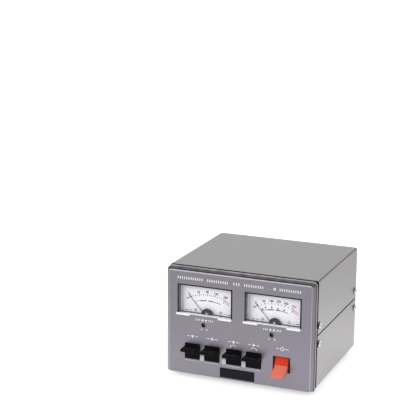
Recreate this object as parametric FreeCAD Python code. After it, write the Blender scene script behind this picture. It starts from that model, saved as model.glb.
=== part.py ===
import FreeCAD, Part
import math
import os

Vector = FreeCAD.Vector

# Case, in millimetres: x from the middle, y back from the front face, z up from the underside
case_width = 200.0
case_height = 141.0
case_depth = 184.0
sheet = 1.5
cover_fold = 3.6
chassis_fold = 2.2
seam_gap = 1.3
cover_front = 13.0
chassis_height = 90.0

# Clearances
seat_gap = 0.3
run_gap = 0.05
thread_gap = 0.02
screw_gap = 0.15

# Front panel
panel_wall = 3.0
panel_depth = 9.5
panel_corner = 6.0
bevel = 5.0
bevel_rounding = 0.7
rim_wall = 4.0
spigot_wall = 2.2
spigot_length = 6.0
boss_radius = 3.5

# Side screws
side_screw_spread = 12.0
side_screw_front = 18.5
side_screw_rear = 7.5
side_screw_radius = 1.75
side_screw_head = 4.0
side_screw_proud = 2.4
side_screw_reach = 7.0
side_boss_width = 8.0
side_boss_height = 34.0
side_boss_length = 9.0

# Feet
foot_height = 7.0
foot_radius = 9.0
foot_taper = 0.8
foot_side_inset = 22.0
foot_end_inset = 32.0
foot_recess_depth = 4.0
foot_screw_radius = 1.75
foot_screw_head = 3.5
foot_screw_proud = 2.4
foot_screw_reach = 7.5

# Meters
window_left_margin = 16.3
window_right_margin = 17.1
window_between = 16.5
window_bottom = 78.8
window_top_margin = 21.3
sill_step = 1.0
sill_step_width = 39.0
lens_wall = 1.2
lens_margin = 2.2
lens_drop = 7.3
meter_wall = 1.4
dial_setback = 12.0
dial_thickness = 0.8
dial_gap = 0.2
dial_foot = 1.2
ledge_front = 0.3
ledge_rise = 0.6
ledge_depth = 8.2
ledge_step_depth = 5.5
meter_box_depth = 14.0
pivot_drop = 4.4
pivot_bearing_radius = 0.6
pointer_short = 7.8
pointer_thickness = 0.5
pointer_root = 1.2
pointer_tip = 0.6
pointer_rest_angle = -43.0
pointer_lift = 1.4
hub_radius = 1.3
hub_clearance = 0.4
hub_length = 1.3
shroud_radius = 7.2
shroud_rise = 5.2
shroud_thickness = 1.6
shroud_lift = 1.0
zero_screw_radius = 1.7
zero_screw_proud = 0.9
zero_screw_slot = 0.5
zero_screw_height = 1.4
drum_radius = 15.5
drum_length = 20.0
drum_bearing = 3.0
coil_radius = 7.5
coil_bar = 1.2
coil_width = 3.0
coil_length = 12.0
coil_offset = 4.0
core_radius = 5.2
magnet_inner = 8.4
magnet_length = 9.0
magnet_bridge = 3.0

# Front adjusters
adjuster_drop = 10.8
adjuster_shifts = {"left": -1.4, "right": -0.9}
adjuster_hole = 3.1
adjuster_radius = 3.3
adjuster_front = 4.6
adjuster_rotor = 2.2
adjuster_rotor_proud = 0.7
adjuster_rotor_seat = 2.4
adjuster_slot_width = 0.7
adjuster_slot_depth = 0.9

# Keys
key_places = {"down": -62.8, "up": -35.8, "left": -5.8, "right": 20.9}
key_opening_width = 21.0
key_opening_bottom = 20.3
key_opening_top = 41.6
key_side_gap = 0.35
key_top_gap = 0.4
key_foot_gap = 1.4
key_reach = 15.9
key_lip_drop = 3.3
key_lip_height = 4.0
key_crook = 1.2
key_face_proud = 1.2
key_root_height = 6.6
key_depth = 5.2
key_hollow = 2.6
key_pivot_back = 8.0
key_pivot_height = 31.0
key_pin_radius = 1.5
key_hub_radius = 2.9
key_rounding = 0.5
rib_thickness = 3.0
rib_height = 9.0
rib_margin = 2.9
key_switch_size = 6.2
key_switch_depth = 4.6
key_switch_stem = 1.6
key_switch_stem_length = 1.6
key_switch_height = 24.0

# Power paddle and switch
power_place = 58.2
power_opening_width = 23.0
power_opening_bottom = 20.7
power_opening_top = 41.2
power_paddle_width = 17.4
power_pivot_back = 8.0
power_pivot_height = 31.0
power_root_radius = 9.6
power_tip_reach = 18.8
power_tip_height = 21.3
power_tip_cut = 3.0
power_tip_thickness = 3.4
power_ridge_reach = 1.8
power_ridge_height = 29.6
power_brow_back = 3.4
power_heel_rise = 0.5
power_edge = 1.3
power_pin_radius = 1.25
power_side_gap = 0.5
power_body_wall = 2.2
power_body_depth = 29.0
power_well_depth = 16.5
power_blade_width = 6.3
power_blade_thickness = 0.8
power_blade_length = 9.0

# Badge
badge_width = 44.0
badge_height = 10.1
badge_thickness = 0.8
badge_place = -1.0
badge_bottom = 3.4

# Front board
board_thickness = 1.6
front_board_back = 13.0
front_board_inset = 16.0
front_board_bottom = 9.0
front_board_gap = 1.5
front_boss_inset = 6.0
front_boss_low = 14.5
front_boss_high = 60.0
board_screw_radius = 1.5
board_screw_head = 2.9
board_screw_proud = 2.0
board_screw_reach = 6.5

# Rear panel
rear_recess = 2.5
rear_flange = 12.0
rear_top_gap = 0.3

# Terminal strips
strip_places = {"elevation": -41.0, "azimuth": 41.0}
strip_drop = 38.0
strip_poles = 6
strip_pitch = 9.0
strip_barrier = 1.6
strip_tall = 24.0
strip_base = 7.0
strip_barrier_rise = 10.0
strip_ear = 7.5
strip_ear_depth = 4.0
terminal_screw_radius = 1.7
terminal_screw_head = 3.0
terminal_screw_proud = 2.2
terminal_screw_spread = 6.0
terminal_screw_reach = 5.0
strip_screw_reach = 6.5

# Control socket
socket_inset = 42.0
socket_height = 52.0
socket_radius = 9.4
socket_bore = 7.2
socket_flange = 12.5
socket_flange_thickness = 1.2
socket_proud = 5.0
socket_recess = 8.0
socket_length = 16.0
socket_pin_hole = 0.8
socket_pin_depth = 4.0
socket_pin_circle = 4.4
socket_pins = 6

# Fuse holder
fuse_inset = 34.0
fuse_height_up = 46.0
fuse_body_radius = 6.5
fuse_bore = 4.4
fuse_flange = 8.5
fuse_flange_thickness = 2.0
fuse_body_length = 34.0
fuse_radius = 2.6
fuse_length = 20.0
fuse_ferrule = 0.15
fuse_ferrule_length = 5.0
fuse_cap_radius = 7.4
fuse_cap_length = 8.0
fuse_cap_plug = 6.0
fuse_plug_radius = 4.0

# Cord gland
gland_inset = 32.0
gland_height = 46.0
gland_bore = 3.7
gland_neck = 7.0
gland_flange = 9.5
gland_flange_thickness = 2.5
gland_nose = 8.0
gland_nose_radius = 6.2
gland_lock_thickness = 3.0

# Rear adjusters
rear_adjusters = {"rear_left": -18.0, "rear_right": 2.0}
rear_adjuster_height = 52.0
rear_adjuster_length = 9.0
rear_adjuster_radius = 4.6
rear_adjuster_shaft = 2.6
rear_adjuster_bush = 3.6
rear_adjuster_proud = 3.0

# Main board
main_board_width = 96.0
main_board_length = 88.0
main_board_place = -38.0
main_board_front = 62.0
standoff_radius = 3.2
standoff_height = 8.0
standoff_inset = 6.0
relay_count = 4
relay_width = 15.5
relay_length = 20.0
relay_tall = 16.0
relay_pitch = 19.5
relay_front = 8.0
capacitor_radius = 8.0
capacitor_tall = 26.0
capacitor_pitch = 21.0
capacitor_count = 3
capacitor_front = 46.0
rectifier_width = 25.0
rectifier_thickness = 4.0
rectifier_tall = 20.0
rectifier_front = 72.0

# Transformer
core_width = 66.0
core_tall = 56.0
core_stack = 36.0
core_leg = 11.0
core_side_inset = 50.0
core_rear_inset = 92.0
winding_gap = 0.4
winding_overhang = 10.0
strap = 1.5
strap_foot = 11.0
core_screw_radius = 2.0
core_screw_head = 4.0
core_screw_proud = 2.6

# Worked-out planes and edges
half = case_width / 2
seam_height = case_height / 2
spigot_inset = sheet + seat_gap
spigot_end = panel_depth + spigot_length
chassis_front = spigot_end + seat_gap
chassis_outer = half - sheet
chassis_inner = chassis_outer - sheet
floor_top = 2 * sheet
rear_outer = case_depth - rear_recess
rear_inner = rear_outer - sheet
lens_back = panel_wall + lens_wall
meter_back = lens_back + meter_box_depth
window_width = (case_width - window_left_margin - window_right_margin - window_between) / 2
window_height = case_height - window_bottom - window_top_margin
meter_places = {"left": window_left_margin + window_width / 2 - half,
                "right": half - window_right_margin - window_width / 2}
meter_half = window_width / 2 + lens_margin
meter_low = window_bottom - lens_drop
meter_high = window_bottom + window_height + 2 * lens_margin
meter_floor = meter_low + meter_wall
adjuster_places = {side: meter_places[side] + shift for side, shift in adjuster_shifts.items()}
adjuster_height = window_bottom - adjuster_drop
pivot_height = window_bottom - pivot_drop
pointer_length = window_height + pivot_drop - pointer_short
dial_low = window_bottom + dial_foot
front_board_half = half - front_board_inset
front_board_top = meter_low - front_board_gap
front_boss_place = front_board_half - front_boss_inset
strip_height = case_height - strip_drop
socket_place = socket_inset - half
gland_place = half - gland_inset
fuse_place = gland_place - fuse_inset
core_place = half - core_side_inset
core_front = case_depth - core_rear_inset
main_board_low = floor_top + standoff_height
main_board_top = main_board_low + board_thickness
front_board_rear = front_board_back + board_thickness

# The row's origin is under the middle of the whole object, on the plane that the feet rest on
front_reach = power_tip_reach
rear_reach = max(gland_flange_thickness + gland_nose, strip_base + strip_barrier_rise,
                 fuse_flange_thickness + fuse_cap_length, socket_proud) + rear_outer
origin_back = (rear_reach - front_reach) / 2


def box(x0, x1, y0, y1, z0, z1):
    return Part.makeBox(x1 - x0, y1 - y0, z1 - z0, Vector(x0, y0, z0))


def rod_x(x0, x1, y, z, radius):
    return Part.makeCylinder(radius, x1 - x0, Vector(x0, y, z), Vector(1, 0, 0))


def rod_y(x, y0, y1, z, radius):
    return Part.makeCylinder(radius, y1 - y0, Vector(x, y0, z), Vector(0, 1, 0))


def rod_z(x, y, z0, z1, radius):
    return Part.makeCylinder(radius, z1 - z0, Vector(x, y, z0), Vector(0, 0, 1))


def side_profile(edges, x0, x1):
    face = Part.Face(Part.Wire(edges))
    return face.extrude(Vector(x1 - x0, 0, 0))


def lines(points):
    pairs = zip(points[:-1], points[1:])
    return [Part.LineSegment(a, b).toShape() for a, b in pairs]


def edges_where(shape, test):
    return [edge for edge in shape.Edges if all(test(v.Point) for v in edge.Vertexes)]


def near(a, b):
    return abs(a - b) < 1e-4


def channel(half_width, z_base, z_rim, fold, y0, y1):
    """A folded sheet channel with its base at z_base and its two sides reaching to z_rim."""
    wall = sheet
    up = 1 if z_rim > z_base else -1
    outer = box(-half_width, half_width, y0, y1, min(z_base, z_rim), max(z_base, z_rim))
    inner_base = z_base + up * wall
    inner_rim = z_rim + up
    hollow = box(-half_width + wall, half_width - wall, y0 - 1, y1 + 1,
                 min(inner_base, inner_rim), max(inner_base, inner_rim))
    shape = outer.cut(hollow)
    folds = edges_where(shape, lambda p: near(p.z, z_base) and near(abs(p.x), half_width))
    shape = shape.makeFillet(fold, [edge for edge in folds if near(edge.BoundBox.XLength, 0)])
    creases = edges_where(shape, lambda p: near(p.z, inner_base) and near(abs(p.x), half_width - wall))
    creases = [edge for edge in creases if near(edge.BoundBox.XLength, 0)]
    return shape.makeFillet(fold - wall, creases)


def side_screw_points():
    rows = [side_screw_front, case_depth - side_screw_rear]
    heights = [seam_height - side_screw_spread, seam_height + side_screw_spread]
    return [(y, z) for y in rows for z in heights]


def side_screw_holes(radius):
    tools = [rod_x(-half - 1, half + 1, y, z, radius) for y, z in side_screw_points()]
    return Part.makeCompound(tools)


def foot_points():
    x = half - foot_side_inset
    return [(side * x, y) for side in (-1, 1) for y in (foot_end_inset, case_depth - foot_end_inset)]


def foot_holes(radius):
    tools = [rod_z(x, y, -foot_height - 1, foot_height, radius) for x, y in foot_points()]
    return Part.makeCompound(tools)


def slotted_screw(head_radius, head_height, shank_radius, reach, slot=0.9):
    """A domed slotted screw along -z, its head standing on z = 0."""
    head = Part.makeCylinder(head_radius, head_height)
    top = edges_where(head, lambda p: near(p.z, head_height))
    head = head.makeFillet(head_height * 0.45, top)
    head = head.cut(box(-slot / 2, slot / 2, -head_radius, head_radius, head_height * 0.55, head_height + 1))
    return head.fuse(Part.makeCylinder(shank_radius, reach, Vector(0, 0, -reach))).removeSplitter()


def cross_screw(head_radius, head_height, shank_radius, reach):
    """A domed cross-recessed screw along -z, its head standing on z = 0."""
    head = Part.makeCylinder(head_radius, head_height)
    top = edges_where(head, lambda p: near(p.z, head_height))
    head = head.makeFillet(head_height * 0.45, top)
    arm = head_radius * 0.62
    slot = head_radius * 0.13
    floor = head_height * 0.45
    head = head.cut(box(-slot, slot, -arm, arm, floor, head_height + 1))
    head = head.cut(box(-arm, arm, -slot, slot, floor, head_height + 1))
    return head.fuse(Part.makeCylinder(shank_radius, reach, Vector(0, 0, -reach))).removeSplitter()


def aim(shape, direction, place):
    """Turn a shape made along +z so that it points along direction, and put it at place."""
    turned = shape.copy()
    turned.Placement = FreeCAD.Placement(place, FreeCAD.Rotation(Vector(0, 0, 1), direction))
    return turned


def front_panel():
    plate = box(-half, half, 0, panel_depth, 0, case_height)
    corners = edges_where(plate, lambda p: near(abs(p.x), half) and near(p.z, case_height))
    plate = plate.makeFillet(panel_corner, [edge for edge in corners if near(edge.BoundBox.XLength, 0)])
    front_edges = edges_where(plate, lambda p: near(p.y, 0))
    bevelled = [edge for edge in front_edges if edge.BoundBox.ZMax > 1]
    plate = plate.makeChamfer(bevel, bevelled)
    plate = plate.makeFillet(bevel_rounding, bevel_borders(plate))
    inset = spigot_inset
    spigot = box(-half + inset, half - inset, panel_depth, spigot_end, inset, case_height - inset)
    spigot_corners = [edge for edge in spigot.Edges if near(edge.BoundBox.YLength, spigot_length)]
    plate = plate.fuse(spigot.makeFillet(cover_fold - inset, spigot_corners))
    pocket = bevel + rim_wall
    plate = plate.cut(box(-half + pocket, half - pocket, panel_wall, panel_depth,
                          rim_wall, case_height - pocket))
    inner = inset + spigot_wall
    plate = plate.cut(box(-half + inner, half - inner, panel_depth, spigot_end + 1,
                          inner, case_height - inner))
    plate = plate.fuse(front_panel_supports())
    plate = plate.cut(front_panel_openings())
    plate = plate.cut(side_screw_bores())
    return plate.removeSplitter()


def bevel_borders(plate):
    """The long edges where the bevels meet the flat front face and the outer sides."""
    borders = []
    for edge in plate.Edges:
        ends = [v.Point for v in edge.Vertexes]
        level = near(ends[0].y, ends[1].y)
        on_border = near(ends[0].y, 0) or near(ends[0].y, bevel)
        on_underside = near(ends[0].z, 0) and near(ends[1].z, 0)
        if level and on_border and not on_underside:
            borders.append(edge)
    return borders


def side_screw_bores():
    depth = side_screw_reach + 1
    tools = []
    for z in (seam_height - side_screw_spread, seam_height + side_screw_spread):
        for x0 in (-half, half - depth):
            tools.append(rod_x(x0, x0 + depth, side_screw_front, z, side_screw_radius + thread_gap))
    return Part.makeCompound(tools)


def front_panel_supports():
    parts = []
    for side in (-1, 1):
        x0 = side * chassis_inner
        x1 = side * (chassis_inner - side_boss_width)
        parts.append(box(min(x0, x1), max(x0, x1), panel_depth, spigot_end + side_boss_length,
                         seam_height - side_boss_height / 2, seam_height + side_boss_height / 2))
        for z in (front_boss_low, front_boss_high):
            parts.append(rod_y(side * front_boss_place, panel_wall, front_board_back, z, boss_radius))
    for x in rib_places():
        parts.append(box(x - rib_thickness / 2, x + rib_thickness / 2, panel_wall,
                         key_pivot_back + rib_margin, key_pivot_height - rib_height / 2,
                         key_pivot_height + rib_height / 2))
    return Part.makeCompound(parts)


def rib_places():
    centres = sorted(key_places.values())
    outer = (key_opening_width + rib_thickness) / 2 + 0.6
    between = [(a + b) / 2 for a, b in zip(centres[:-1], centres[1:])]
    return [centres[0] - outer] + between + [centres[-1] + outer]


def front_panel_openings():
    tools = []
    for x in meter_places.values():
        window = box(x - window_width / 2, x + window_width / 2, -1, panel_wall + 1,
                     window_bottom, window_bottom + window_height)
        tools.append(window.cut(box(x - sill_step_width / 2, x + sill_step_width / 2, -1, panel_wall + 1,
                                    window_bottom, window_bottom + sill_step)))
    for x in adjuster_places.values():
        tools.append(rod_y(x, -1, panel_wall + 1, adjuster_height, adjuster_hole))
    for x in key_places.values():
        tools.append(box(x - key_opening_width / 2, x + key_opening_width / 2, -1, panel_wall + 0.01,
                         key_opening_bottom, key_opening_top))
    tools.append(box(power_place - power_opening_width / 2, power_place + power_opening_width / 2,
                     -1, panel_wall + 1, power_opening_bottom, power_opening_top))
    for x in rib_places():
        tools.append(rod_x(x - rib_thickness, x + rib_thickness, key_pivot_back, key_pivot_height,
                           key_pin_radius + thread_gap))
    for side in (-1, 1):
        for z in (front_boss_low, front_boss_high):
            tools.append(rod_y(side * front_boss_place, front_board_rear - board_screw_reach - 0.5,
                               front_board_back + 1, z, board_screw_radius + thread_gap))
    return Part.makeCompound(tools)


def top_cover():
    shape = channel(half, case_height, seam_height + seam_gap / 2, cover_fold, cover_front, case_depth)
    return shape.cut(side_screw_holes(side_screw_radius + screw_gap))


def bottom_cover():
    shape = channel(half, 0, seam_height - seam_gap / 2, cover_fold, cover_front, case_depth)
    shape = shape.cut(side_screw_holes(side_screw_radius + screw_gap))
    return shape.cut(foot_holes(foot_screw_radius + screw_gap))


def chassis():
    shape = channel(chassis_outer, sheet, chassis_height, chassis_fold, chassis_front, rear_outer)
    shape = shape.cut(side_screw_holes(side_screw_radius + screw_gap))
    shape = shape.cut(foot_holes(foot_screw_radius + thread_gap))
    holes = [rod_z(x, y, 0, floor_top + 1, board_screw_radius + screw_gap) for x, y in standoff_points()]
    holes += [rod_z(x, y, 0, floor_top + 1, core_screw_radius + thread_gap) for x, y in core_screw_points()]
    return shape.cut(Part.makeCompound(holes))


def cover_screws():
    screw = cross_screw(side_screw_head, side_screw_proud, side_screw_radius, side_screw_reach)
    places = [(side, y, z) for side in (-1, 1) for y, z in side_screw_points()]
    return [aim(screw, Vector(side, 0, 0), Vector(side * half, y, z)) for side, y, z in places]


def rubber_feet():
    feet = []
    for x, y in foot_points():
        foot = Part.makeCone(foot_radius - foot_taper, foot_radius, foot_height, Vector(x, y, -foot_height))
        foot = foot.cut(rod_z(x, y, -foot_height - 1, -foot_height + foot_recess_depth,
                              foot_screw_head + 2 * seat_gap))
        feet.append(foot.cut(rod_z(x, y, -foot_height, 1, foot_screw_radius + run_gap)))
    return feet


def foot_screws():
    screw = cross_screw(foot_screw_head, foot_screw_proud, foot_screw_radius, foot_screw_reach)
    z = -foot_height + foot_recess_depth
    return [aim(screw, Vector(0, 0, -1), Vector(x, y, z)) for x, y in foot_points()]


def rear_panel():
    low = floor_top + chassis_fold - sheet
    high = case_height - sheet - rear_top_gap
    shape = box(-chassis_inner, chassis_inner, rear_inner, rear_outer, low, high)
    for side in (-1, 1):
        x0 = side * chassis_inner
        x1 = side * (chassis_inner - sheet)
        shape = shape.fuse(box(min(x0, x1), max(x0, x1), rear_inner - rear_flange, rear_inner,
                               low + chassis_fold, chassis_height))
    shape = shape.cut(side_screw_holes(side_screw_radius + thread_gap))
    holes = [rod_y(socket_place, rear_inner - 1, rear_outer + 1, socket_height, socket_radius),
             rod_y(fuse_place, rear_inner - 1, rear_outer + 1, fuse_height_up, fuse_body_radius),
             rod_y(gland_place, rear_inner - 1, rear_outer + 1, gland_height, gland_neck)]
    for x in rear_adjusters.values():
        holes.append(rod_y(x, rear_inner - 1, rear_outer + 1, rear_adjuster_height, rear_adjuster_bush))
    for x in strip_places.values():
        for z_side in (-1, 1):
            place = x + z_side * strip_ear_centre()
            holes.append(rod_y(place, rear_inner - 1, rear_outer + 1, strip_height,
                               terminal_screw_radius + thread_gap))
    return shape.cut(Part.makeCompound(holes)).removeSplitter()


def badge_plate():
    x = badge_place - badge_width / 2
    return box(x, x + badge_width, -badge_thickness, 0, badge_bottom, badge_bottom + badge_height)


def meter_case(x):
    outer = box(x - meter_half, x + meter_half, lens_back, meter_back, meter_low, meter_high)
    hollow = box(x - meter_half + meter_wall, x + meter_half - meter_wall, lens_back - 1,
                 meter_back - meter_wall, meter_floor, meter_high - meter_wall)
    drum_end = meter_back + drum_length
    drum = rod_y(x, meter_back - meter_wall, drum_end, pivot_height, drum_radius)
    drum_hollow = rod_y(x, meter_back, drum_end - drum_bearing, pivot_height, drum_radius - meter_wall)
    side = meter_half - meter_wall
    shelf = box(x - side, x + side, dial_setback, meter_back - meter_wall, meter_floor, dial_low)
    shelf = shelf.cut(rod_y(x, dial_setback - 1, meter_back - meter_wall, pivot_height,
                            hub_radius + hub_clearance))
    drum = drum.common(box(x - drum_radius, x + drum_radius, meter_back, drum_end, 0, case_height))
    shape = outer.cut(hollow).fuse([shelf, drum]).cut(drum_hollow)
    bearing = rod_y(x, meter_back - 2 * meter_wall, drum_end - drum_bearing / 2, pivot_height,
                    pivot_bearing_radius + run_gap)
    return shape.cut(bearing).removeSplitter()


def meter_lens(x):
    low = window_bottom + ledge_rise + seat_gap
    lens = box(x - meter_half, x + meter_half, panel_wall, lens_back, low, meter_high)
    notch = sill_step_width / 2 + seat_gap
    return lens.cut(box(x - notch, x + notch, 0, lens_back + 1, low - 1, low + sill_step))


def dial_ledge(x):
    """The pale sill under the dial: two deep ends and a raised, shallower middle."""
    end = window_width / 2 - dial_gap
    middle = sill_step_width / 2
    low = window_bottom + run_gap
    high = window_bottom + ledge_rise
    tongue = box(x - end, x + end, ledge_front, lens_back, low, high)
    notch = middle + run_gap
    tongue = tongue.cut(box(x - notch, x + notch, ledge_front - 1, panel_wall + run_gap, low - 1, high + 1))
    raised = box(x - middle, x + middle, ledge_front, lens_back, low + sill_step, high + sill_step)
    riser = box(x - middle - 2 * run_gap, x + middle + 2 * run_gap, panel_wall + run_gap, lens_back, low,
                high + sill_step)
    block = box(x - end, x + end, lens_back, ledge_step_depth, meter_floor, high)
    crown = box(x - middle, x + middle, lens_back, ledge_step_depth, high, high + sill_step)
    shape = tongue.fuse([raised, riser, block, crown])
    for edge in (-1, 1):
        x0 = x + edge * end
        x1 = x + edge * middle
        shape = shape.fuse(box(min(x0, x1), max(x0, x1), ledge_step_depth, ledge_depth, meter_floor, high))
    return shape.removeSplitter()


def dial_plate(x):
    side = meter_half - meter_wall - dial_gap
    high = meter_high - meter_wall - dial_gap
    dial = box(x - side, x + side, dial_setback, dial_setback + dial_thickness, dial_low, high)
    return [dial, dial_ledge(x)]


def turn_about_pivot(shape, x, angle):
    turned = shape.copy()
    turned.rotate(Vector(x, 0, pivot_height), Vector(0, 1, 0), angle)
    return turned


def pointer(x):
    front = dial_setback - pointer_lift - pointer_thickness
    points = [Vector(x - pointer_root / 2, front, pivot_height),
              Vector(x + pointer_root / 2, front, pivot_height),
              Vector(x + pointer_tip / 2, front, pivot_height + pointer_length),
              Vector(x - pointer_tip / 2, front, pivot_height + pointer_length)]
    blade = Part.Face(Part.makePolygon(points + points[:1])).extrude(Vector(0, pointer_thickness, 0))
    hub = rod_y(x, front, front + hub_length, pivot_height, hub_radius)
    shaft = rod_y(x, front, meter_back + coil_offset, pivot_height, pivot_bearing_radius)
    return turn_about_pivot(blade.fuse(hub).fuse(shaft).removeSplitter(), x, pointer_rest_angle)


def meter_coil(x):
    y0 = meter_back + coil_offset
    y1 = y0 + coil_length
    frame = box(x - coil_radius, x + coil_radius, y0, y1, pivot_height - coil_width / 2,
                pivot_height + coil_width / 2)
    opening = box(x - coil_radius + coil_bar, x + coil_radius - coil_bar, y0 + coil_bar, y1 - coil_bar,
                  pivot_height - coil_width, pivot_height + coil_width)
    rear_pivot = rod_y(x, y1, meter_back + drum_length - drum_bearing / 2 - 2 * run_gap, pivot_height,
                       pivot_bearing_radius)
    return turn_about_pivot(frame.cut(opening).fuse(rear_pivot).removeSplitter(), x, pointer_rest_angle)


def meter_magnet(x):
    middle = meter_back + coil_offset + coil_length / 2
    y0 = middle - magnet_length / 2
    y1 = middle + magnet_length / 2
    ring = rod_y(x, y0, y1, pivot_height, drum_radius - meter_wall - seat_gap)
    ring = ring.cut(rod_y(x, y0 - 1, y1 + 1, pivot_height, magnet_inner))
    core_end = coil_length / 2 - coil_bar - 2 * seat_gap
    core = rod_y(x, middle - core_end, middle + core_end, pivot_height, core_radius)
    reach = magnet_inner + 1
    bridge = box(x - magnet_bridge / 2, x + magnet_bridge / 2, middle - magnet_bridge / 2,
                 middle + magnet_bridge / 2, pivot_height - reach, pivot_height + reach)
    return ring.fuse(core).fuse(bridge).removeSplitter()


def shroud_planes():
    back = dial_setback - pointer_lift - pointer_thickness - shroud_lift
    return back - shroud_thickness, back


def pivot_shroud(x):
    front, back = shroud_planes()
    centre = pivot_height + shroud_rise
    disc = rod_y(x, front, back, centre, shroud_radius)
    disc = disc.common(box(x - shroud_radius, x + shroud_radius, front, back, centre, case_height))
    foot = box(x - shroud_radius, x + shroud_radius, front, back, meter_floor, centre)
    hole = rod_y(x, front - 1, back + 1, centre + zero_screw_height, zero_screw_radius * 0.6 + run_gap)
    return disc.fuse(foot).cut(hole).removeSplitter()


def zero_screw_place():
    return pivot_height + shroud_rise + zero_screw_height


def zero_screw(x):
    front, back = shroud_planes()
    z = zero_screw_place()
    head_gap = run_gap
    head = rod_y(x, front - head_gap - zero_screw_proud, front - head_gap, z, zero_screw_radius)
    shank = rod_y(x, front - head_gap, back, z, zero_screw_radius * 0.6)
    slot = box(x - zero_screw_slot / 2, x + zero_screw_slot / 2, 0,
               front - head_gap - zero_screw_proud / 2, z - zero_screw_radius, z + zero_screw_radius)
    slot.rotate(Vector(x, 0, z), Vector(0, 1, 0), 35)
    return head.fuse(shank).cut(slot).removeSplitter()


def adjuster_body(x):
    body = rod_y(x, adjuster_front, front_board_back, adjuster_height, adjuster_radius)
    return body.cut(rod_y(x, adjuster_front - 1, adjuster_front + adjuster_rotor_seat + run_gap,
                          adjuster_height, adjuster_rotor + run_gap))


def adjuster_rotor_shape(x):
    front = adjuster_front - adjuster_rotor_proud
    rotor = rod_y(x, front, adjuster_front + adjuster_rotor_seat, adjuster_height, adjuster_rotor)
    slot = box(x - adjuster_slot_width / 2, x + adjuster_slot_width / 2,
               front - 1, front + adjuster_slot_depth,
               adjuster_height - adjuster_radius, adjuster_height + adjuster_radius)
    slot.rotate(Vector(x, 0, adjuster_height), Vector(0, 1, 0), 30)
    return rotor.cut(slot)


def key_outline(x0):
    """Side view of a key, from the top of its root round the lip and the hollow face to its foot."""
    top = key_opening_top - key_top_gap
    foot = key_opening_bottom + key_foot_gap
    lip_top = top - key_lip_drop
    lip_low = lip_top - key_lip_height
    face_top = key_pivot_height - key_root_height / 2
    short = key_crook * (1 - math.sqrt(0.5))
    back_top = Vector(x0, key_depth, top)
    root = Vector(x0, -key_face_proud, top)
    crook_high = Vector(x0, -key_face_proud, lip_top + key_crook)
    crook_middle = Vector(x0, -key_face_proud - short, lip_top + short)
    crook_low = Vector(x0, -key_face_proud - key_crook, lip_top)
    tip_high = Vector(x0, -key_reach, lip_top)
    tip_low = Vector(x0, -key_reach, lip_low)
    face_high = Vector(x0, -key_face_proud, face_top)
    face_low = Vector(x0, -key_face_proud, foot)
    back_low = Vector(x0, key_depth, foot)
    middle = (tip_low + face_high) / 2
    chord = face_high - tip_low
    across = Vector(0, -chord.z, chord.y).normalize()
    if across.z < 0:
        across = across * -1
    bulge = middle + across * key_hollow
    edges = lines([back_low, back_top, root, crook_high])
    edges.append(Part.Arc(crook_high, crook_middle, crook_low).toShape())
    edges += lines([crook_low, tip_high, tip_low])
    edges.append(Part.Arc(tip_low, bulge, face_high).toShape())
    edges += lines([face_high, face_low, back_low])
    return edges


def key(x):
    half_key = key_opening_width / 2 - key_side_gap
    shape = side_profile(key_outline(x - half_key), x - half_key, x + half_key)
    rounded = edges_where(shape, lambda p: p.y < -key_face_proud - 1)
    shape = shape.makeFillet(key_rounding, rounded)
    shape = shape.fuse(box(x - half_key, x + half_key, key_depth, key_pivot_back,
                           key_pivot_height - key_hub_radius, key_pivot_height + key_hub_radius))
    shape = shape.fuse(rod_x(x - half_key, x + half_key, key_pivot_back, key_pivot_height, key_hub_radius))
    bore = rod_x(x - half_key - 1, x + half_key + 1, key_pivot_back, key_pivot_height,
                 key_pin_radius + run_gap)
    return shape.cut(bore).removeSplitter()


def key_pivot_rod():
    places = rib_places()
    return rod_x(places[0] - rib_thickness / 2, places[-1] + rib_thickness / 2, key_pivot_back,
                 key_pivot_height, key_pin_radius)


def key_switches():
    switches = []
    r = key_switch_size / 2
    for x in key_places.values():
        front = front_board_back - key_switch_depth
        body = box(x - r, x + r, front, front_board_back, key_switch_height - r, key_switch_height + r)
        stem = rod_y(x, front - key_switch_stem_length, front, key_switch_height, key_switch_stem)
        switches.append(body.fuse(stem))
    return switches


def power_paddle():
    x0 = power_place - power_paddle_width / 2
    x1 = power_place + power_paddle_width / 2
    y = power_pivot_back
    z = power_pivot_height
    brow_rise = math.sqrt(power_root_radius ** 2 - (y - power_brow_back) ** 2)
    brow = Vector(x0, power_brow_back, z + brow_rise)
    ridge = Vector(x0, -power_ridge_reach, power_ridge_height)
    tip = Vector(x0, -power_tip_reach, power_tip_height)
    under = Vector(x0, -power_tip_reach + power_tip_cut, power_tip_height - power_tip_thickness)
    heel_height = power_opening_bottom + power_heel_rise
    heel = Vector(x0, 0, heel_height)
    bottom = Vector(x0, y, z - power_root_radius)
    centre = Vector(x0, y, z)
    lever = side_profile(lines([brow, ridge, tip, under, heel, bottom, centre, brow]), x0, x1)
    back_limit = 0.01 - power_ridge_reach
    top_edges = edges_where(lever, lambda p: p.y < back_limit and p.z > power_tip_height - 0.01)
    long_edges = [edge for edge in top_edges if edge.BoundBox.XLength < 0.01]
    lever = lever.makeChamfer(power_edge, long_edges)
    root = rod_x(x0, x1, y, z, power_root_radius)
    front_cut = side_profile(lines([brow, ridge, Vector(x0, -power_root_radius, power_ridge_height),
                                    Vector(x0, -power_root_radius, brow.z), brow]), x0, x1)
    lower_cut = box(x0, x1, -power_root_radius, 0, 0, power_ridge_height)
    root = root.cut(front_cut).cut(lower_cut)
    shape = lever.fuse(root)
    shape = shape.cut(rod_x(x0 - 1, x1 + 1, y, z, power_pin_radius + run_gap))
    return shape.removeSplitter()


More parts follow.
